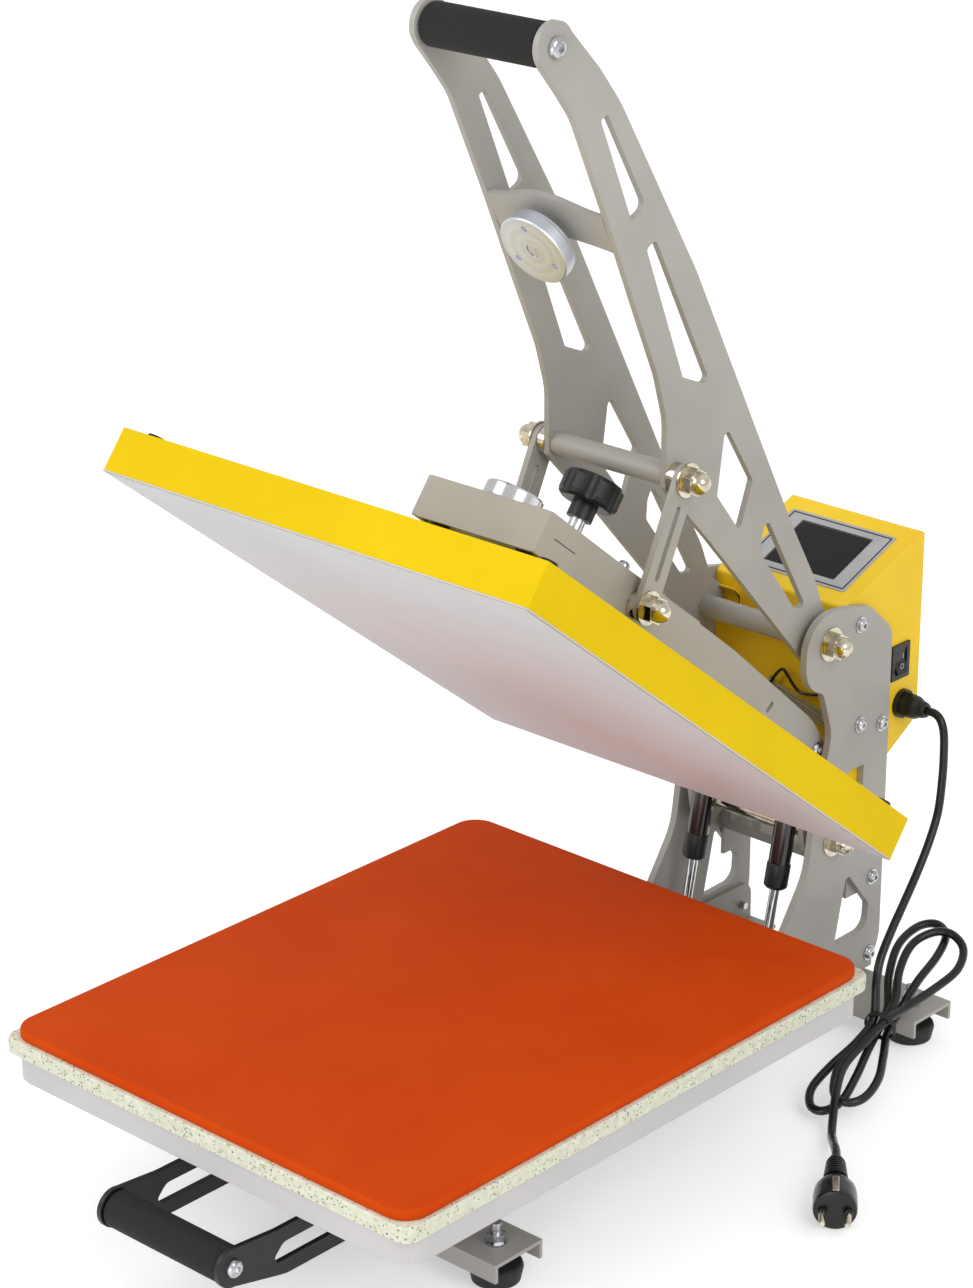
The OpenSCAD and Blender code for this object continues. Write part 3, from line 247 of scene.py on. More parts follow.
def build(name, skins, material, body, smooth=True):
    """Joins closed skins into one object that rides on a body, or on none yet."""
    verts, faces, start = [], [], 0
    for v, f in skins:
        f = outward(v, f)
        faces += [[i + start for i in face] for face in f]
        verts.append(v)
        start += len(v)
    mesh = bpy.data.meshes.new(name)
    mesh.from_pydata(np.vstack(verts).tolist(), [], faces)
    mesh.update()
    if smooth:
        mesh.shade_smooth()
        mesh.set_sharp_from_angle(angle=math.radians(35))
    mesh.materials.append(material)
    obj = bpy.data.objects.new(name, mesh)
    bpy.context.scene.collection.objects.link(obj)
    if body:
        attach(obj, body)
    return obj


def add_node(tree, kind, values=None, links=None, **settings):
    """Adds a node, sets its properties and socket values, and links its inputs."""
    node = tree.nodes.new(kind)
    for key, value in settings.items():
        setattr(node, key, value)
    for key, value in (values or {}).items():
        node.inputs[key].default_value = value
    for key, socket in (links or {}).items():
        tree.links.new(socket, node.inputs[key])
    return node


def finish(name, roughness, metallic=0.0, **sockets):
    """A new material with its shader set, and the Object coordinates that patterns read."""
    mat = bpy.data.materials.new(name)
    mat.use_nodes = True
    tree = mat.node_tree
    shader = tree.nodes["Principled BSDF"]
    shader.inputs["Roughness"].default_value = roughness
    shader.inputs["Metallic"].default_value = metallic
    for key, value in sockets.items():
        shader.inputs[key.replace("_", " ")].default_value = value
    place = add_node(tree, "ShaderNodeTexCoord").outputs["Object"]
    return mat, tree, shader, place


def two_tone(tree, shader, factor, dark, light, low=0.3, high=0.7):
    """Colour that goes from dark to light as a pattern goes from low to high."""
    ramp = add_node(
        tree, "ShaderNodeMapRange", {"From Min": low, "From Max": high}, {"Value": factor}
    )
    mix = add_node(
        tree, "ShaderNodeMix", {"A": linear(dark), "B": linear(light)},
        {"Factor": ramp.outputs["Result"]}, data_type="RGBA",
    )
    tree.links.new(mix.outputs["Result"], shader.inputs["Base Color"])
    return mix


def relief(tree, shader, height, depth_mm, strength, edge_mm=0.0):
    """Bump of a depth in mm, laid over edges that a small radius has rounded."""
    bump = add_node(
        tree, "ShaderNodeBump",
        {"Strength": strength, "Distance": depth_mm * MM}, {"Height": height},
    )
    if edge_mm:
        round_edge = add_node(tree, "ShaderNodeBevel", {"Radius": edge_mm * MM}, samples=4)
        tree.links.new(round_edge.outputs["Normal"], bump.inputs["Normal"])
    tree.links.new(bump.outputs["Normal"], shader.inputs["Normal"])


def uneven(tree, shader, factor, low, high):
    """Roughness that wanders between two values with a pattern."""
    spread = add_node(
        tree, "ShaderNodeMapRange",
        {"From Min": 0.3, "From Max": 0.7, "To Min": low, "To Max": high}, {"Value": factor},
    )
    tree.links.new(spread.outputs["Result"], shader.inputs["Roughness"])


def noise(tree, place, grain_mm, detail=3.0, stretch=None):
    """Noise whose grains are so many mm across; stretch draws it out along an axis."""
    if stretch:
        drawn = add_node(tree, "ShaderNodeMapping", {"Scale": stretch}, {"Vector": place})
        place = drawn.outputs["Vector"]
    return add_node(
        tree, "ShaderNodeTexNoise", {"Scale": 1000 / grain_mm, "Detail": detail}, {"Vector": place}
    ).outputs["Fac"]


def powder_coat(name, dark, light, roughness=0.42, edge_mm=0.5, ior=1.45):
    """Powder coat: baked polyester on sheet steel. The eye sees an even satin colour with a
    faint orange peel of 1.5 mm, a slow drift in tone, and soft bright edges."""
    mat, tree, shader, place = finish(name, roughness, IOR=ior)
    two_tone(tree, shader, noise(tree, place, 90, 2), dark, light)
    uneven(tree, shader, noise(tree, place, 25), roughness - 0.05, roughness + 0.05)
    relief(tree, shader, noise(tree, place, 1.5, 1), 0.06, 0.35, edge_mm)
    return mat


def plated(name, light, dark, roughness):
    """Zinc or nickel plate on turned steel: a mirror with a warm or cold cast, fine turning
    marks that blur it unevenly, and small bright edges."""
    mat, tree, shader, place = finish(name, roughness, 1.0)
    two_tone(tree, shader, noise(tree, place, 6), dark, light)
    uneven(tree, shader, noise(tree, place, 3), roughness * 0.7, roughness * 1.4)
    relief(tree, shader, noise(tree, place, 0.8, 2), 0.02, 0.3, 0.25)
    return mat


def moulded(name, dark, light, roughness=0.5, grain_mm=0.9, depth_mm=0.05, edge_mm=0.3):
    """Moulded plastic or rubber: an even colour under a fine spark-eroded grain. The grain
    of 0.9 mm is coarser than the real one, so that it shows. With a deeper grain it also
    serves for the wool of the hidden blanket."""
    mat, tree, shader, place = finish(name, roughness, IOR=1.46)
    two_tone(tree, shader, noise(tree, place, 14), dark, light)
    uneven(tree, shader, noise(tree, place, 4), roughness - 0.06, roughness + 0.08)
    relief(tree, shader, noise(tree, place, grain_mm, 2), depth_mm, 0.5, edge_mm)
    return mat


def foam_sleeve(name):
    """Closed-cell nitrile foam: dull black, with round pores of 0.8 mm that catch no light."""
    mat, tree, shader, place = finish(name, 0.85, IOR=1.45)
    cells = add_node(tree, "ShaderNodeTexVoronoi", {"Scale": 1250.0}, {"Vector": place})
    two_tone(tree, shader, cells.outputs["Distance"], "#0B0B0B", "#1D1D1D", low=0.1, high=0.7)
    relief(tree, shader, cells.outputs["Distance"], 0.15, 0.5)
    return mat


def silicone_sponge(name):
    """Cast silicone sponge sheet: saturated orange red, matt, with the faint imprint of the
    cloth it was cured on, drawn at 2 mm, and a skin that is a little darker in places."""
    mat, tree, shader, place = finish(name, 0.65, IOR=1.16)
    two_tone(tree, shader, noise(tree, place, 60, 4), "#C23F02", "#C84504")
    weave = add_node(
        tree, "ShaderNodeTexVoronoi", {"Scale": 500.0, "Randomness": 0.35}, {"Vector": place}
    )
    relief(tree, shader, weave.outputs["Distance"], 0.05, 0.35)
    return mat


def flecked_felt(name):
    """Bonded board of pressed waste fibre: cream, with dark, green and ochre chips of 1 to
    3 mm and a slightly furry surface."""
    mat, tree, shader, place = finish(name, 0.9, IOR=1.4)
    ground = two_tone(tree, shader, noise(tree, place, 5, 5), "#C9CAB3", "#E0E1D0", 0.25, 0.75)
    colour = ground.outputs["Result"]
    # Size in mm of a cell that may hold a chip, share of it that sets the chip's radius,
    # colour, and offset of the cells
    for cell_mm, share, hexcode, shift in (
        (3.3, 0.15, "#333F37", 0.0), (4.6, 0.15, "#8FA37D", 3.0), (2.8, 0.13, "#5E4A39", 7.0),
        (5.5, 0.17, "#B8B288", 11.0),
    ):
        shifted = add_node(
            tree, "ShaderNodeMapping", {"Location": (shift, shift, shift)}, {"Vector": place}
        )
        cells = add_node(
            tree, "ShaderNodeTexVoronoi", {"Scale": 1000 / cell_mm},
            {"Vector": shifted.outputs["Vector"]},
        )
        near = add_node(
            tree, "ShaderNodeMapRange",
            {"From Min": share * 1.6, "From Max": share * 1.2, "To Min": 0.0, "To Max": 0.85},
            {"Value": cells.outputs["Distance"]},
        )
        some = add_node(
            tree, "ShaderNodeMath", {1: 0.6}, {0: cells.outputs["Color"]}, operation="GREATER_THAN"
        )
        both = add_node(
            tree, "ShaderNodeMath", {}, {0: near.outputs["Result"], 1: some.outputs["Value"]},
            operation="MULTIPLY",
        )
        mix = add_node(
            tree, "ShaderNodeMix", {"B": linear(hexcode)},
            {"Factor": both.outputs["Value"], "A": colour}, data_type="RGBA",
        )
        colour = mix.outputs["Result"]
    tree.links.new(colour, shader.inputs["Base Color"])
    relief(tree, shader, noise(tree, place, 1.4, 4), 0.35, 0.7)
    return mat


def turned_metal(name, axis_point, axis_turn, light, dark, roughness, radian_mm=1.4):
    """Metal faced on a lathe: faint rings round the axis, wide enough apart to show, and a
    satin gloss that they break up. A radian of their wave is radian_mm wide, so a ring is
    2 pi times that."""
    mat, tree, shader, place = finish(name, roughness, 1.0)
    local = add_node(
        tree, "ShaderNodeMapping", {"Location": tuple(axis_point), "Rotation": (axis_turn, 0, 0)},
        {"Vector": place}, vector_type="TEXTURE",
    )
    rings = add_node(
        tree, "ShaderNodeTexWave", {"Scale": 1000 / radian_mm / 20, "Distortion": 0.3},
        {"Vector": local.outputs["Vector"]}, wave_type="RINGS", rings_direction="Z",
    )
    two_tone(tree, shader, rings.outputs["Fac"], dark, light, 0.0, 1.0)
    relief(tree, shader, rings.outputs["Fac"], 0.006, 0.25, 0.4)
    return mat


def heat_plate_coat(name):
    """Non-stick coat on a cast plate: quite matt, with a fine even grain and slow cloudy
    marks from the heat. Its grey is a little cold, against the orange light of the pad."""
    mat, tree, shader, place = finish(name, 0.55, IOR=1.35)
    two_tone(tree, shader, noise(tree, place, 120, 3), "#CDD6D8", "#D4DCDE")
    relief(tree, shader, noise(tree, place, 1.0, 2), 0.04, 0.3)
    return mat


def drawn_steel(name, light, dark, roughness, stretch, grain_mm=2.0):
    """Rolled or ground steel: streaks along the piece, which spread its reflection."""
    mat, tree, shader, place = finish(name, roughness, 1.0)
    streaks = noise(tree, place, grain_mm, 2, stretch)
    two_tone(tree, shader, streaks, dark, light)
    relief(tree, shader, streaks, 0.02, 0.3, 0.2)
    return mat


def gloss_enamel(name, dark, light, roughness):
    """Stoved enamel: deep colour under a clear even gloss, with a long faint waviness."""
    mat, tree, shader, place = finish(
        name, roughness, IOR=1.5, Coat_Weight=0.5, Coat_Roughness=0.08
    )
    two_tone(tree, shader, noise(tree, place, 30), dark, light)
    relief(tree, shader, noise(tree, place, 5, 1), 0.04, 0.3, 0.3)
    return mat


def printed_film(name, dark, light, roughness):
    """Printed polyester film: flat even colour, satin, with the fine tooth of its matt side."""
    mat, tree, shader, place = finish(name, roughness, IOR=1.3)
    two_tone(tree, shader, noise(tree, place, 18), dark, light)
    relief(tree, shader, noise(tree, place, 0.7, 1), 0.01, 0.3)
    return mat


def woven_sleeve(name):
    """Braided glass sleeve: crossing yarns about 1 mm apart, dull, grey brown."""
    mat, tree, shader, place = finish(name, 0.8, IOR=1.45)
    yarn = add_node(
        tree, "ShaderNodeTexVoronoi", {"Scale": 1000.0, "Randomness": 0.2}, {"Vector": place}
    )
    two_tone(tree, shader, yarn.outputs["Distance"], "#6F6A58", "#B3AD92", low=0.1, high=0.6)
    relief(tree, shader, yarn.outputs["Distance"], 0.2, 0.6)
    return mat


def make_finishes():
    """Every finish of the press by its slot's name."""
    disc_axis = lever_opened([0, MAGNET_Y, 264.4])
    magnet_axis = opened([0, MAGNET_Y, 252])
    return {
        "powder_grey": powder_coat("powder_coat_warm_grey", "#A09D98", "#ABA8A2"),
        "tray_white": powder_coat("powder_coat_pale_grey", "#BDBABB", "#C6C3C3"),
        "cover_yellow": powder_coat(
            "powder_coat_yellow", "#DAB800", "#E1C000", roughness=0.48, ior=1.17
        ),
        "box_yellow": powder_coat(
            "powder_coat_box_yellow", "#ECC322", "#F3CC2A", roughness=0.4, edge_mm=1.2, ior=1.3
        ),
        "black_steel": powder_coat("powder_coat_black", "#0D0D0D", "#171717", roughness=0.4),
        "zinc_fastener": plated("zinc_plate", "#D9D9DC", "#A8A8AC", 0.22),
        "nickel_nut": plated("nickel_plate", "#E4DDCB", "#B9B09A", 0.13),
        "magnet_chrome": turned_metal(
            "turned_plated_steel", magnet_axis, -ARM_OPEN, "#E0E0E3", "#CBCBCF", 0.16,
            radian_mm=1.8,
        ),
        "turned_aluminium": turned_metal(
            "faced_aluminium", disc_axis, -LEVER_TRAVEL, "#D6DAE2", "#CDD1DA", 0.42
        ),
        "cast_aluminium": heat_plate_coat("nonstick_coated_aluminium"),
        "slide_steel": drawn_steel(
            "zinc_plated_strip", "#C6C8CC", "#9EA1A6", 0.35, stretch=(1, 0.05, 1)
        ),
        "rod_chrome": drawn_steel(
            "hard_chromed_rod", "#F0F0F2", "#C9C9CD", 0.08,
            stretch=(1, 1, 0.04), grain_mm=1.0,
        ),
        "element_steel": drawn_steel(
            "heater_sheath_steel", "#8A8784", "#5F5C5A", 0.5, stretch=(1, 1, 1)
        ),
        "spring_black": gloss_enamel("black_stoved_enamel", "#050505", "#0C0C0C", 0.18),
        "foam_black": foam_sleeve("closed_cell_foam"),
        "foot_rubber": moulded("moulded_rubber", "#161616", "#222222", 0.62),
        "silicone_orange": silicone_sponge("silicone_sponge"),
        "felt_cream": flecked_felt("bonded_felt_board"),
        "blanket_white": moulded(
            "ceramic_wool", "#DAD6CC", "#EFECE3",
            roughness=0.95, grain_mm=3.0, depth_mm=0.5, edge_mm=0.0,
        ),
        "black_plastic": moulded("moulded_nylon_black", "#0C0C0C", "#191919", 0.38),
        "overlay_grey": printed_film("printed_film_grey", "#A5A5A6", "#AFAFB0", 0.35),
        "screen_black": printed_film("screen_window", "#0C0C0C", "#121211", 0.3),
        "board_green": gloss_enamel("circuit_board_lacquer", "#123E22", "#1A5530", 0.3),
        "cord_black": moulded(
            "cord_sheath_pvc", "#0B0B0B", "#151515",
            roughness=0.27, grain_mm=0.8, depth_mm=0.03, edge_mm=0.0,
        ),
        "braid_dark": woven_sleeve("braided_sleeve"),
    }


# Filled by main: operators find their materials here
FINISHES = {}


class PressLook(bpy.types.PropertyGroup):
    """Settings of the stage, the lead and the foam grips that a user may want to change."""

    lead_diameter: FloatProperty(
        name="Lead diameter", description="Outside diameter of the mains lead",
        default=0.007, min=0.005, max=0.01, unit="LENGTH",
    )
    foam_round: FloatProperty(
        name="Foam edge", description="Rounding at the ends of the foam grips",
        default=0.003, min=0.001, max=0.006, unit="LENGTH",
    )
    floor_colour: FloatVectorProperty(
        name="Floor", description="Colour of the floor", default=(0.8, 0.8, 0.8),
        min=0, max=1, subtype="COLOR",
    )
    key_power: FloatProperty(
        name="Key light", description="Power of the large soft light",
        default=36.0, min=0.0, unit="POWER",
    )
    fill_power: FloatProperty(
        name="Fill light", description="Power of the second soft light",
        default=28.0, min=0.0, unit="POWER",
    )
    low_power: FloatProperty(
        name="Low light", description="Power of the soft light that reaches under the open arm",
        default=15.0, min=0.0, unit="POWER",
    )
    room_level: FloatProperty(
        name="Room", description="Level of the even light all round", default=0.79, min=0.0,
    )


# Camera of the photograph: focal length in pixels of the 1288 px high frame, turn, tilt,
# and place in metres
FOCAL_PX = 3619.96
FRAME_PX = 1288
CAMERA_TURN = math.radians(42.44)
CAMERA_TILT = math.radians(21.81)
CAMERA_AT = (1.6358, -1.84286, 1.38509)
# Half the floor's width, and the point that the lights face, in metres
FLOOR_HALF = 12
LIGHT_AIM = np.array([0, 0, 0.35])
# Light that the floor adds where the camera or a gloss sees it, which brings it to white
FLOOR_GLOW = 0.42


def facing(back, at):
    """Matrix of a camera or lamp at a place, with its back to a direction and level sides."""
    back = back / np.linalg.norm(back)
    right = np.cross([0, 0, 1.0], back)
    right /= np.linalg.norm(right)
    turn = Matrix(np.stack([right, np.cross(back, right), back], -1).tolist())
    return Matrix.Translation(at) @ turn.to_4x4()


class PRESS_OT_stage(bpy.types.Operator):
    """Makes the camera, the floor and the soft lights"""

    bl_idname = "press.stage"
    bl_label = "Stage"

    def execute(self, context):
        look = context.scene.press_look
        back = np.array([
            math.sin(CAMERA_TURN) * math.cos(CAMERA_TILT),
            -math.cos(CAMERA_TURN) * math.cos(CAMERA_TILT),
            math.sin(CAMERA_TILT),
        ])
        data = bpy.data.cameras.new("camera")
        data.sensor_width = 36.0
        data.lens = 36.0 * FOCAL_PX / FRAME_PX
        data.clip_end = 60.0
        camera = bpy.data.objects.new("camera", data)
        camera.matrix_world = facing(back, CAMERA_AT)
        context.scene.collection.objects.link(camera)
        context.scene.camera = camera

        context.scene.view_settings.view_transform = "Standard"
        self.floor(context, look)
        self.room(context, look)
        self.lights(context, look)
        return {"FINISHED"}

    def floor(self, context, look):
        """Plain floor that the camera and gloss see as white where no shadow falls."""
        h = FLOOR_HALF
        verts = [(-h, -h, 0), (h, -h, 0), (h, h, 0), (-h, h, 0)]
        mesh = bpy.data.meshes.new("floor")
        mesh.from_pydata(verts, [], [(0, 1, 2, 3)])
        mat = bpy.data.materials.new("floor_paper")
        mat.use_nodes = True
        tree = mat.node_tree
        tree.nodes.clear()
        diffuse = add_node(tree, "ShaderNodeBsdfDiffuse", {"Color": (*look.floor_colour, 1)})
        glow = add_node(tree, "ShaderNodeEmission", {"Strength": FLOOR_GLOW})
        path = add_node(tree, "ShaderNodeLightPath")
        seen = add_node(
            tree, "ShaderNodeMath", {},
            {0: path.outputs["Is Camera Ray"], 1: path.outputs["Is Glossy Ray"]},
            operation="MAXIMUM",
        )
        seen = add_node(
            tree, "ShaderNodeMath", {},
            {0: seen.outputs["Value"], 1: path.outputs["Is Transmission Ray"]},
            operation="MAXIMUM",
        )
        both = add_node(
            tree, "ShaderNodeAddShader", {},
            {0: diffuse.outputs["BSDF"], 1: glow.outputs["Emission"]},
        )
        mix = add_node(
            tree, "ShaderNodeMixShader", {},
            {"Fac": seen.outputs["Value"], 1: diffuse.outputs["BSDF"], 2: both.outputs["Shader"]},
        )
        add_node(tree, "ShaderNodeOutputMaterial", {}, {"Surface": mix.outputs["Shader"]})
        mesh.materials.append(mat)
        floor = bpy.data.objects.new("floor", mesh)
        context.scene.collection.objects.link(floor)

    def room(self, context, look):
        """Even light all round, which the camera sees as white."""
        world = bpy.data.worlds.new("room")
        world.use_nodes = True
        tree = world.node_tree
        tree.nodes.clear()
        path = add_node(tree, "ShaderNodeLightPath")
        level = add_node(
            tree, "ShaderNodeMapRange", {"To Min": look.room_level, "To Max": 1.0},
            {"Value": path.outputs["Is Camera Ray"]},
        )
        light = add_node(
            tree, "ShaderNodeBackground", {"Color": (1, 1, 1, 1)},
            {"Strength": level.outputs["Result"]},
        )
        add_node(tree, "ShaderNodeOutputWorld", {}, {"Surface": light.outputs["Background"]})
        context.scene.world = world

    def lights(self, context, look):
        """Three soft boxes: key from the front left, fill from the right, and one low in front."""
        for name, at, size, power in (
            ("key", (-1.6, -2.6, 2.4), 2.2, look.key_power),
            ("fill", (2.6, -0.6, 2.2), 1.8, look.fill_power),
            ("low", (1.2, -2.6, 0.5), 1.2, look.low_power),
        ):
            lamp = bpy.data.lights.new(name, "AREA")
            lamp.shape = "SQUARE"
            lamp.size = size
            lamp.energy = power
            obj = bpy.data.objects.new(name, lamp)
            obj.matrix_world = facing(np.array(at) - LIGHT_AIM, at)
            context.scene.collection.objects.link(obj)


# Route of the mains lead, in mm: from the gland to the hank as part.scad has it, and from
# the hank to the plug, rerouted from part.scad's to take out a kink
LEAD_DROP = [
    [90.5, 371, 256], [98, 371, 256], [104, 370.6, 252.5], [108, 370, 244], [110, 369, 230],
    [112, 366, 207], [115, 358, 180], [118, 344, 160], [121, 326, 141], [125, 304, 123],
    [129, 282, 106], [133, 263, 89], [137, 253, 73],
]
LEAD_TAIL = [[186, 135, 8.5], [200, 118, 11], [213, 103, 17], [220, 95, 19], [226, 87, 19]]
# Tips of the tied hank, as in part.scad, which has one plain slab in place of its strands
HANK_FROM = np.array([168.0, 148.0, 8.5])
HANK_TO = np.array([124.0, 372.0, 76.0])
# Along the hank to its tie, across and up to the tie's middle, and the tie's radius, in mm
TIE_AT = 106
TIE_ACROSS, TIE_UP = 1.5, 2.0
TIE_RADIUS = 12.2
# How far off the plug's axis a pin is, and the steps of the lead's line, in mm
PIN_OUT = 9.5
LEAD_STEP = 3.0
# Strands of the hank: [along, across, height] from its lower tip, in mm
HANK_STRANDS = [
    [106, 7, 8], [80, 9, 5], [50, 18, 2], [24, 22, 0], [6, 14, 0], [5, 2, 0], [20, -6, 0],
    [50, -4, -1], [80, 1, -3], [105, 4, -4], [132, 8, -4], [165, 22, -2], [200, 30, 0],
    [226, 25, 0], [235, 12, 0], [225, -1, 0], [200, -5, 0], [165, -3, 0], [132, -3, -3],
    [106, -4, -5], [80, -13, -3], [52, -22, 0], [28, -22, 2], [16, -13, 4], [20, 0, 6],
    [46, 9, 6], [78, 8, 3], [106, 0, 3], [134, 2, 4], [168, 13, 6], [198, 16, 7],
    [216, 6, 8], [221, -8, 7], [211, -23, 4], [188, -28, 2], [160, -20, 2], [132, -9, 3],
    [106, -4, 9], [80, 0, 10], [50, 4, 10], [22, -2, 11],
]


def hank_points(strands):
    """Places given along, across and above the hank, in mm in the part's frame."""
    u = HANK_TO - HANK_FROM
    u = u / np.linalg.norm(u)
    v = np.cross([0, 0, 1], u)
    v /= np.linalg.norm(v)
    s = np.asarray(strands, float)
    return HANK_FROM + s @ np.stack([u, v, np.cross(u, v)])


def lead_path():
    """Centre line of the whole lead, in metres."""
    points = np.vstack([LEAD_DROP, hank_points(HANK_STRANDS), LEAD_TAIL])
    return smooth_path(points, LEAD_STEP) * MM


class PRESS_OT_lead(bpy.types.Operator):
    """Makes the mains lead with its tied hank and its plug"""

    bl_idname = "press.lead"
    bl_label = "Mains lead"

    def execute(self, context):
        look = context.scene.press_look
        path = lead_path()
        lead = build(
            "mains_lead", [tube(path, look.lead_diameter / 2, 12)],
            FINISHES["cord_black"], "base",
        )
        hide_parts("power_cord", "cord_hank")
        plug, metal = self.plug(path[-1])
        self.tie()
        return {"FINISHED"}

    def plug(self, at):
        """Moulded plug: a ribbed relief, then a body whose section goes from oval to round."""
        direction = np.array([0.6, -0.8, -0.035])
        # Places along the plug, and its half width and half height there, in mm
        s = np.array([0, 1, 3, 6, 30, 34, 36, 40, 46, 54, 66, 70, 71.5, 72])
        wide = np.array([4.4, 5.2, 5.8, 6.2, 8, 8.4, 10, 13, 15.6, 16.4, 16.5, 16.5, 16, 15])
        tall = np.array([4.4, 5.0, 5.4, 5.8, 7, 7.4, 9, 12, 14.8, 16, 16.3, 16.3, 15.8, 14.8])
        a = np.linspace(0, 2 * math.pi, 48, endpoint=False)
        body = np.stack([
            wide[:, None] * np.cos(a), tall[:, None] * np.sin(a),
            np.broadcast_to(s[:, None], (len(s), 48)),
        ], -1)

        def set_down(points):
            """Places of the plug, in mm along its own axes, where it lies, in metres."""
            return along(direction, at, points * MM)

        skins = [moved(loft(body), set_down)]
        for k in range(7):
            r, z = 7.4 + 0.33 * k, 7 + 3.6 * k
            ring = turned([[4, z], [r, z + 0.3], [r + 0.2, z + 1.9], [4, z + 2.2]], 32)
            skins.append(moved(ring, set_down))
        for x in (-PIN_OUT, PIN_OUT):
            v, f = turned([[0, 69], [3.6, 69], [3.6, 76], [3.2, 76.6], [0, 76.6]], 24)
            skins.append((set_down(v + [x, 0, 0]), f))
        plug = build("plug_body", skins, FINISHES["cord_black"], "base")
        pins = []
        for x in (-PIN_OUT, PIN_OUT):
            v, f = turned([[0, 70], [2.4, 70], [2.4, 90], [1.8, 91], [0, 91]], 24)
            pins.append((set_down(v + [x, 0, 0]), f))
        for y in (-1, 1):
            v, f = slab(5.0, 20.0, 1.0, (0, 60), [(0.4, 0), (0, 0.4), (0, 1.2), (0.4, 1.6)])
            strip = np.stack([v[:, 0], y * (v[:, 2] + 15.1), v[:, 1]], -1)
            pins.append((set_down(strip), f))
        metal = build("plug_pins", pins, FINISHES["nickel_nut"], "base")
        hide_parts("mains_plug")
        return plug, metal

    def tie(self):
        """Flat rubber band round the strands: a ring with a thin upright section."""
        a = np.linspace(0, 2 * math.pi, 48, endpoint=False)
        rings = [
            np.stack([
                np.full(48, TIE_AT + aside), TIE_ACROSS + r * np.cos(a), TIE_UP + r * np.sin(a)
            ], -1)
            for r, aside in (
                (TIE_RADIUS, -2), (TIE_RADIUS + 0.9, -2), (TIE_RADIUS + 0.9, 2), (TIE_RADIUS, 2)
            )
        ]
        skin = loft(hank_points(rings) * MM, closed=True)
        build("lead_tie", [skin], FINISHES["foot_rubber"], "base")


class PRESS_OT_bed_covering(bpy.types.Operator):
    """Makes the silicone pad, the felt board under it and the foam grips"""

    bl_idname = "press.bed_covering"
    bl_label = "Pad, felt and grips"

    def execute(self, context):
        look = context.scene.press_look
        pad = self.sheet(
            "sponge_pad", "silicone_pad", "silicone_orange", radius=20.0, ripple=0.15,
            foot=[(1.2, 0), (0.35, 0.35), (0, 1.2)],
            head=[(0, -2.0), (0.25, -1.1), (0.9, -0.4), (2.0, -0.08), (4.0, 0)],
        )
        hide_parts("silicone_pad")
        felt = self.sheet(
            "felt_slab", "felt_board", "felt_cream", radius=12.0, ripple=0.45,
            foot=[(0.8, 0), (0.2, 0.4), (0.5, 4), (0.1, 7)], head=[(0.3, -0.7), (1.2, 0)],
        )
        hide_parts("felt_board")

        self.grip("lever_foam", "lever_grip", "lever", look, bore=9.1)
        self.grip("pull_foam", "pull_grip", "bed", look, bore=8.1)
        return {"FINISHED"}

    def sheet(self, name, node, slot, radius, ripple, foot, head):
        """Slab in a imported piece's place: foot and head give inset and height at its faces."""
        lo, hi = (np.array(c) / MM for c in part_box(node))
        profile = [(i, lo[2] + z) for i, z in foot] + [(i, hi[2] + z) for i, z in head]
        centre = ((lo + hi) / 2)[:2]
        skin = slab(hi[0] - lo[0], hi[1] - lo[1], radius, centre, profile, ripple)
        return build(name, [moved(skin, metres)], FINISHES[slot], "bed")

    def grip(self, name, node, body, look, bore):
        """Foam sleeve: a turned tube with round lips, its wall a closed profile about X."""
        lo, hi = (np.array(c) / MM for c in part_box(node))
        r = (hi[2] - lo[2]) / 2
        half = (hi[0] - lo[0]) / 2
        e = look.foam_round / MM
        a = np.linspace(0, math.pi / 2, 6)
        lip = np.stack([r - e + e * np.sin(a), half - e + e * np.cos(a)], -1)
        edge = np.vstack([[[bore, half]], lip, [[r, 0]], (lip * [1, -1])[::-1], [[bore, -half]]])
        t = np.linspace(0, 2 * math.pi, 56, endpoint=False)
        rings = np.stack([
            np.broadcast_to(edge[:, 1:], (len(edge), 56)),
            edge[:, :1] * np.cos(t) + (lo[1] + hi[1]) / 2,
            edge[:, :1] * np.sin(t) + (lo[2] + hi[2]) / 2,
        ], -1) * MM
        sleeve = build(name, [loft(rings, closed=True)], FINISHES["foam_black"], body)
        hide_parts(node)


class PRESS_OT_frame_finish(bpy.types.Operator):
    """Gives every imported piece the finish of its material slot"""

    bl_idname = "press.frame_finish"
    bl_label = "Frame finishes"

    # Pieces whose finish isn't their slot's own
    other = {"control_box_shell": "box_yellow", "control_box_back": "box_yellow"}

    def execute(self, context):
        for part in frame["record"]["subparts"]:
            node = part["node"]
            mat = FINISHES[self.other.get(node, part["material_slot"])]
            obj = frame["nodes"][node]
            if not obj.material_slots:
                obj.data.materials.append(mat)
            for s in obj.material_slots:
                s.material = mat
        return {"FINISHED"}


# Control panel: lower front edge and slope of the box's top, in mm, as in part.scad
PANEL_LOW = np.array([0.0, 290.0, 361.0])
PANEL_HIGH = np.array([0.0, 388.0, 399.0])
# Radii of the thin leads in front of the box, in metres
SENSOR_RADIUS = 0.0013
BRAID_RADIUS = 0.0012


def on_panel(points):
    """Places on the sloped panel in metres, from [across, up, out] in mm off its middle."""
    along_y = PANEL_HIGH - PANEL_LOW
    along_y = along_y / np.linalg.norm(along_y)
    axes = np.stack([[1.0, 0, 0], along_y, np.cross([1.0, 0, 0], along_y)])
    return (np.asarray(points, float) @ axes + (PANEL_LOW + PANEL_HIGH) / 2) * MM


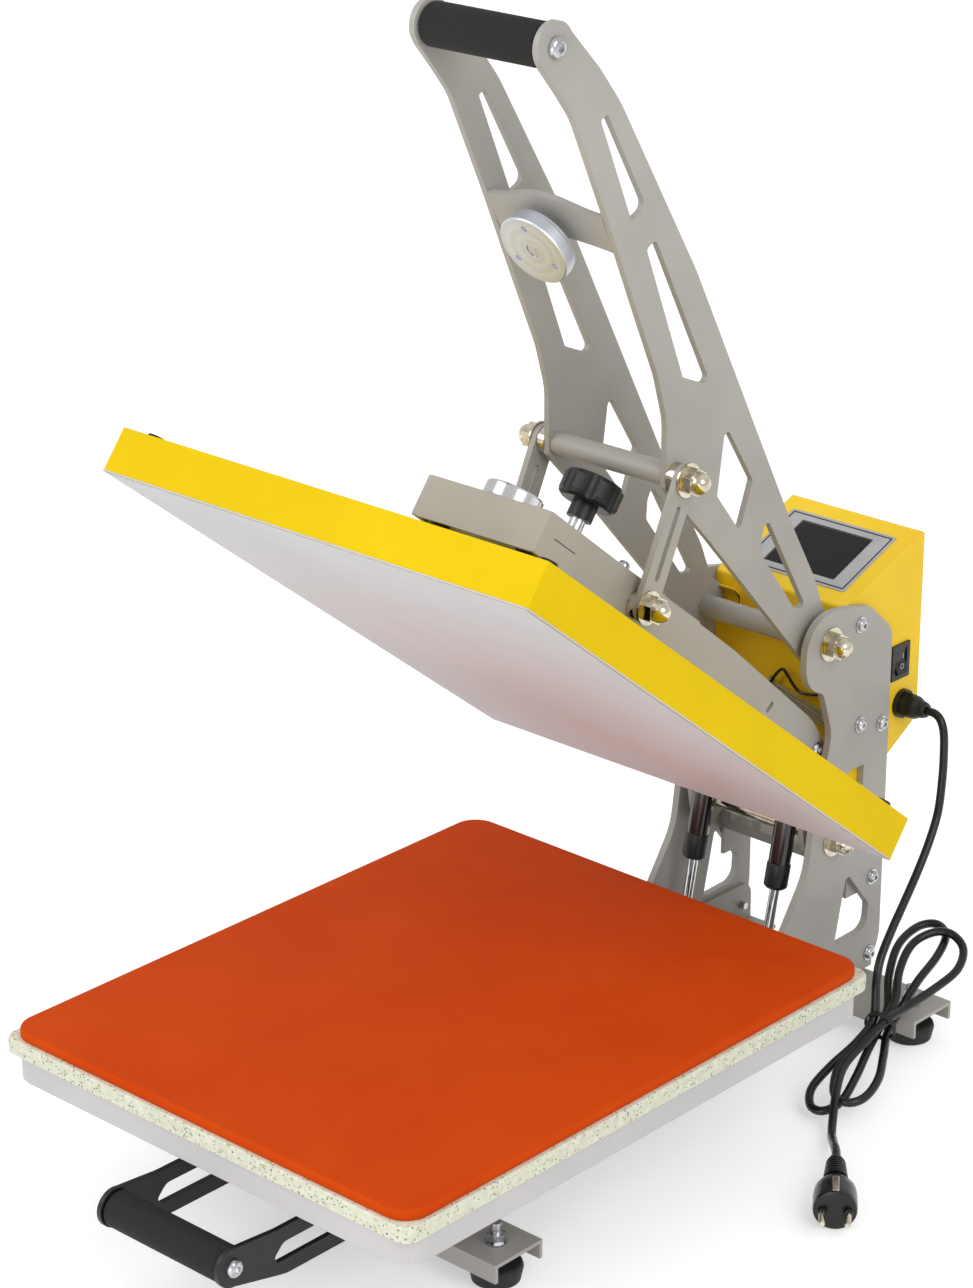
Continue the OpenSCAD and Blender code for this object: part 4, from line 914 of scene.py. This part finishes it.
class PRESS_OT_control_details(bpy.types.Operator):
    """Makes the control box's label border, switch marks, folded tab and thin leads"""

    bl_idname = "press.control_details"
    bl_label = "Control box details"

    def execute(self, context):
        border = frame_plate((99.0, 69.0), (96.6, 66.6), 1.2, 0.605, 0.72)
        window = frame_plate((70.5, 54.5), (68.2, 52.2), 1.0, 0.605, 0.7)
        build(
            "label_border", [moved(border, on_panel), moved(window, on_panel)],
            FINISHES["screen_black"], "base", smooth=False,
        )
        self.marks()
        self.tab()
        self.wiring()
        return {"FINISHED"}

    def tab(self):
        """Folded lug on the box's front: a sheet's section in Y and Z, drawn across X."""
        line = np.array([[289.9, 332], [289.9, 344], [288.8, 346.5], [281.5, 353.5]])
        back = line + [[-1.5, 0], [-1.5, 0], [-1.2, -1], [-1.05, -1.05]]
        section = np.vstack([line, back[::-1]])
        rings = [np.column_stack([np.full(8, x), section]) for x in (-58, -57.5, -38.5, -38)]
        skin = moved(loft(rings), metres)
        build("box_tab", [skin], FINISHES["box_yellow"], "base", smooth=False)

    def wiring(self):
        """Leads fixed along the box's front: each a short tube that ends in the sheet."""
        black = [
            [-14, 290.3, 262], [-13, 286, 263], [-8, 284, 270], [-1, 284, 283], [5, 284, 292],
            [10.6, 284, 296.5], [16, 284, 292], [22, 284, 285.5], [28.3, 284, 281.8],
            [39, 284, 282.5], [50, 284, 285.5], [57, 285.5, 287], [59.5, 290.3, 287.5],
        ]
        tubes = [tube(smooth_path(black, 1.5) * MM, SENSOR_RADIUS, 10)]
        build("sensor_lead", tubes, FINISHES["cord_black"], "base")
        # Four braided leads, each so far below the first and so far out of its plane, in mm
        tubes = []
        for drop, out in ((0, 0), (3.2, 0.6), (6.6, -0.4), (9.6, 0.3)):
            line = [
                [-6, 290.3, 284 - drop], [-4, 286 - out, 283.6 - drop], [3, 285 - out, 282 - drop],
                [14, 285 - out, 279 - drop], [30, 285 - out, 275 - drop],
                [48, 285 - out, 270.5 - drop], [57, 286 - out, 268.4 - drop],
                [59.5, 290.3, 268 - drop],
            ]
            tubes.append(tube(smooth_path(line, 1.5) * MM, BRAID_RADIUS, 10))
        build("braided_leads", tubes, FINISHES["braid_dark"], "base")

    def marks(self):
        """Printed ring and bar of an on and off switch, on the two faces of the rocker."""
        lo, hi = (np.array(c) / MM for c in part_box("switch_rocker"))
        middle = (lo + hi) / 2
        inset = 5.2  # of a mark's middle from the rocker's end
        t = np.linspace(0, 2 * math.pi, 28, endpoint=False)
        ring = np.stack([
            np.stack([np.full(28, x), middle[1] + r * np.cos(t), lo[2] + inset + r * np.sin(t)], -1)
            for r, x in ((1.7, 0.0), (1.7, 0.25), (2.4, 0.25), (2.4, 0.0))
        ])
        # X of the rocker's face under the ring; under the bar it stands 0.6 mm further out
        face = hi[0] - 1.15
        ring[..., 0] += face
        v, f = slab(0.9, 4.6, 0.3, (middle[1], hi[2] - inset), [(0, 0), (0, 0.25)])
        bar = (np.stack([v[:, 2] + face + 0.6, v[:, 0], v[:, 1]], -1), f)
        build(
            "switch_marks", [moved(loft(ring, closed=True), metres), moved(bar, metres)],
            FINISHES["overlay_grey"], "rocker", smooth=False,
        )


# Middle of the cover in Y and its top on the closed press, in mm, as in part.scad
COVER_MIDDLE_Y = -100.5
COVER_TOP = 185.4
# Lower eye of the gas springs at rest, in mm, and their direction from it
SPRING_FOOT = np.array([0, 225, 50])
SPRING_AXIS = np.array([0, 42, 197])


class PRESS_OT_arm_details(bpy.types.Operator):
    """Makes the cover's pale rim and buffers, a black strip of painted shade where the arm's side
    has a narrow cut, the arm's studs and the springs' collars
    """

    bl_idname = "press.arm_details"
    bl_label = "Arm details"

    def execute(self, context):
        v, f = frame_plate((403.6, 520.6), (402.2, 519.2), 1.2, 150.9, 152.0)
        rim = (opened(v + [0, COVER_MIDDLE_Y, 0]), f)
        build("cover_rim", [rim], FINISHES["tray_white"], "platen", smooth=False)
        v, f = turned(
            [[0, 0], [7.2, 0], [7.2, 2.6], [6.4, 4.2], [2.4, 4.8], [2.2, 3.6], [0, 3.6]], 28
        )
        # Four buffers at the cover's corners
        screws = [
            (opened(v + [x, y, COVER_TOP]), f)
            for x, y in ((-186, -341), (186, -341), (-186, 140), (186, 140))
        ]
        build("cover_screws", screws, FINISHES["black_steel"], "platen")

        # Painted shade: a thin black strip laid on the arm's side stands in for the dark inside of
        # a slit
        v, f = slab(28.0, 0.7, 0.3, (-174, 236.6), [(0, 58.9), (0, 59.15)])
        slit_shade = (opened(np.stack([v[:, 2], v[:, 0], v[:, 1]], -1)), f)
        build("arm_slit", [slit_shade], FINISHES["black_steel"], "arm")
        v, f = turned(
            [[0, 251.5], [4.6, 251.5], [4.6, 254.6], [4.2, 256.4], [2.8, 257.8], [0, 258.4]], 28
        )
        studs = [(opened(v + [x, -86, 0]), f) for x in (-46, 46)]
        build("arm_studs", studs, FINISHES["zinc_fastener"], "arm")

        t = np.linspace(0, 2 * math.pi, 40, endpoint=False)
        v, f = loft(np.stack([
            np.stack([r * np.cos(t), r * np.sin(t), np.full(40, z)], -1)
            for r, z in ((9.02, 82.5), (9.5, 83), (9.7, 84), (9.7, 101), (9.5, 102), (9.02, 102.5))
        ]), closed=True)
        collars = [
            (along(SPRING_AXIS, metres(SPRING_FOOT + [x, 0, 0]), v * MM), f) for x in (-42, 42)
        ]
        build(
            "spring_collars", collars, FINISHES["black_plastic"], "gas_cylinders"
        )
        return {"FINISHED"}


# Place of the heater's leads in X, in mm, and their radius in metres
LEADS_X = 20
LEADS_RADIUS = 0.004


class PRESS_OT_arm_leads(bpy.types.Operator):
    """Makes the heater's leads from the arm to the control box"""

    bl_idname = "press.arm_leads"
    bl_label = "Heater leads"

    def execute(self, context):
        # From the arm to the box in one upright plane, [Y, Z] in mm
        line = np.array([
            [243.2, 266.0], [249, 261.5], [262, 251.4], [272, 243.6],
            [281, 237.2], [289, 233.4], [297, 232], [306, 232],
        ])
        path = smooth_path(np.column_stack([np.full(len(line), LEADS_X), line]), 2.0) * MM
        skin = tube(path, LEADS_RADIUS, 12, start=(1, 0, 0))
        sleeve = build("heater_leads", [skin], FINISHES["braid_dark"], None)
        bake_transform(sleeve)
        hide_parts("arm_cable")
        return {"FINISHED"}


class PRESS_PT_sidebar(bpy.types.Panel):
    """Lists the press's settings and its making steps"""

    bl_idname = "PRESS_PT_sidebar"
    bl_label = "Dry mounting press"
    bl_space_type = "VIEW_3D"
    bl_region_type = "UI"
    bl_category = "Press"

    def draw(self, context):
        look = context.scene.press_look
        for name in ("lead_diameter", "foam_round", "floor_colour", "key_power", "fill_power",
                     "low_power", "room_level"):
            self.layout.prop(look, name)
        for step in STEPS:
            self.layout.operator(step.bl_idname)


STEPS = (
    PRESS_OT_stage,
    PRESS_OT_lead,
    PRESS_OT_frame_finish,
    PRESS_OT_bed_covering,
    PRESS_OT_control_details,
    PRESS_OT_arm_details,
    PRESS_OT_arm_leads,
)
CLASSES = (PressLook, *STEPS, PRESS_PT_sidebar)


def register():
    for cls in CLASSES:
        bpy.utils.register_class(cls)
    bpy.types.Scene.press_look = PointerProperty(type=PressLook)


def unregister():
    del bpy.types.Scene.press_look
    for cls in reversed(CLASSES):
        bpy.utils.unregister_class(cls)


def main():
    register()
    FINISHES.update(make_finishes())
    for step in STEPS:
        group, name = step.bl_idname.split(".")
        getattr(getattr(bpy.ops, group), name)()


if __name__ == "__main__":
    main()
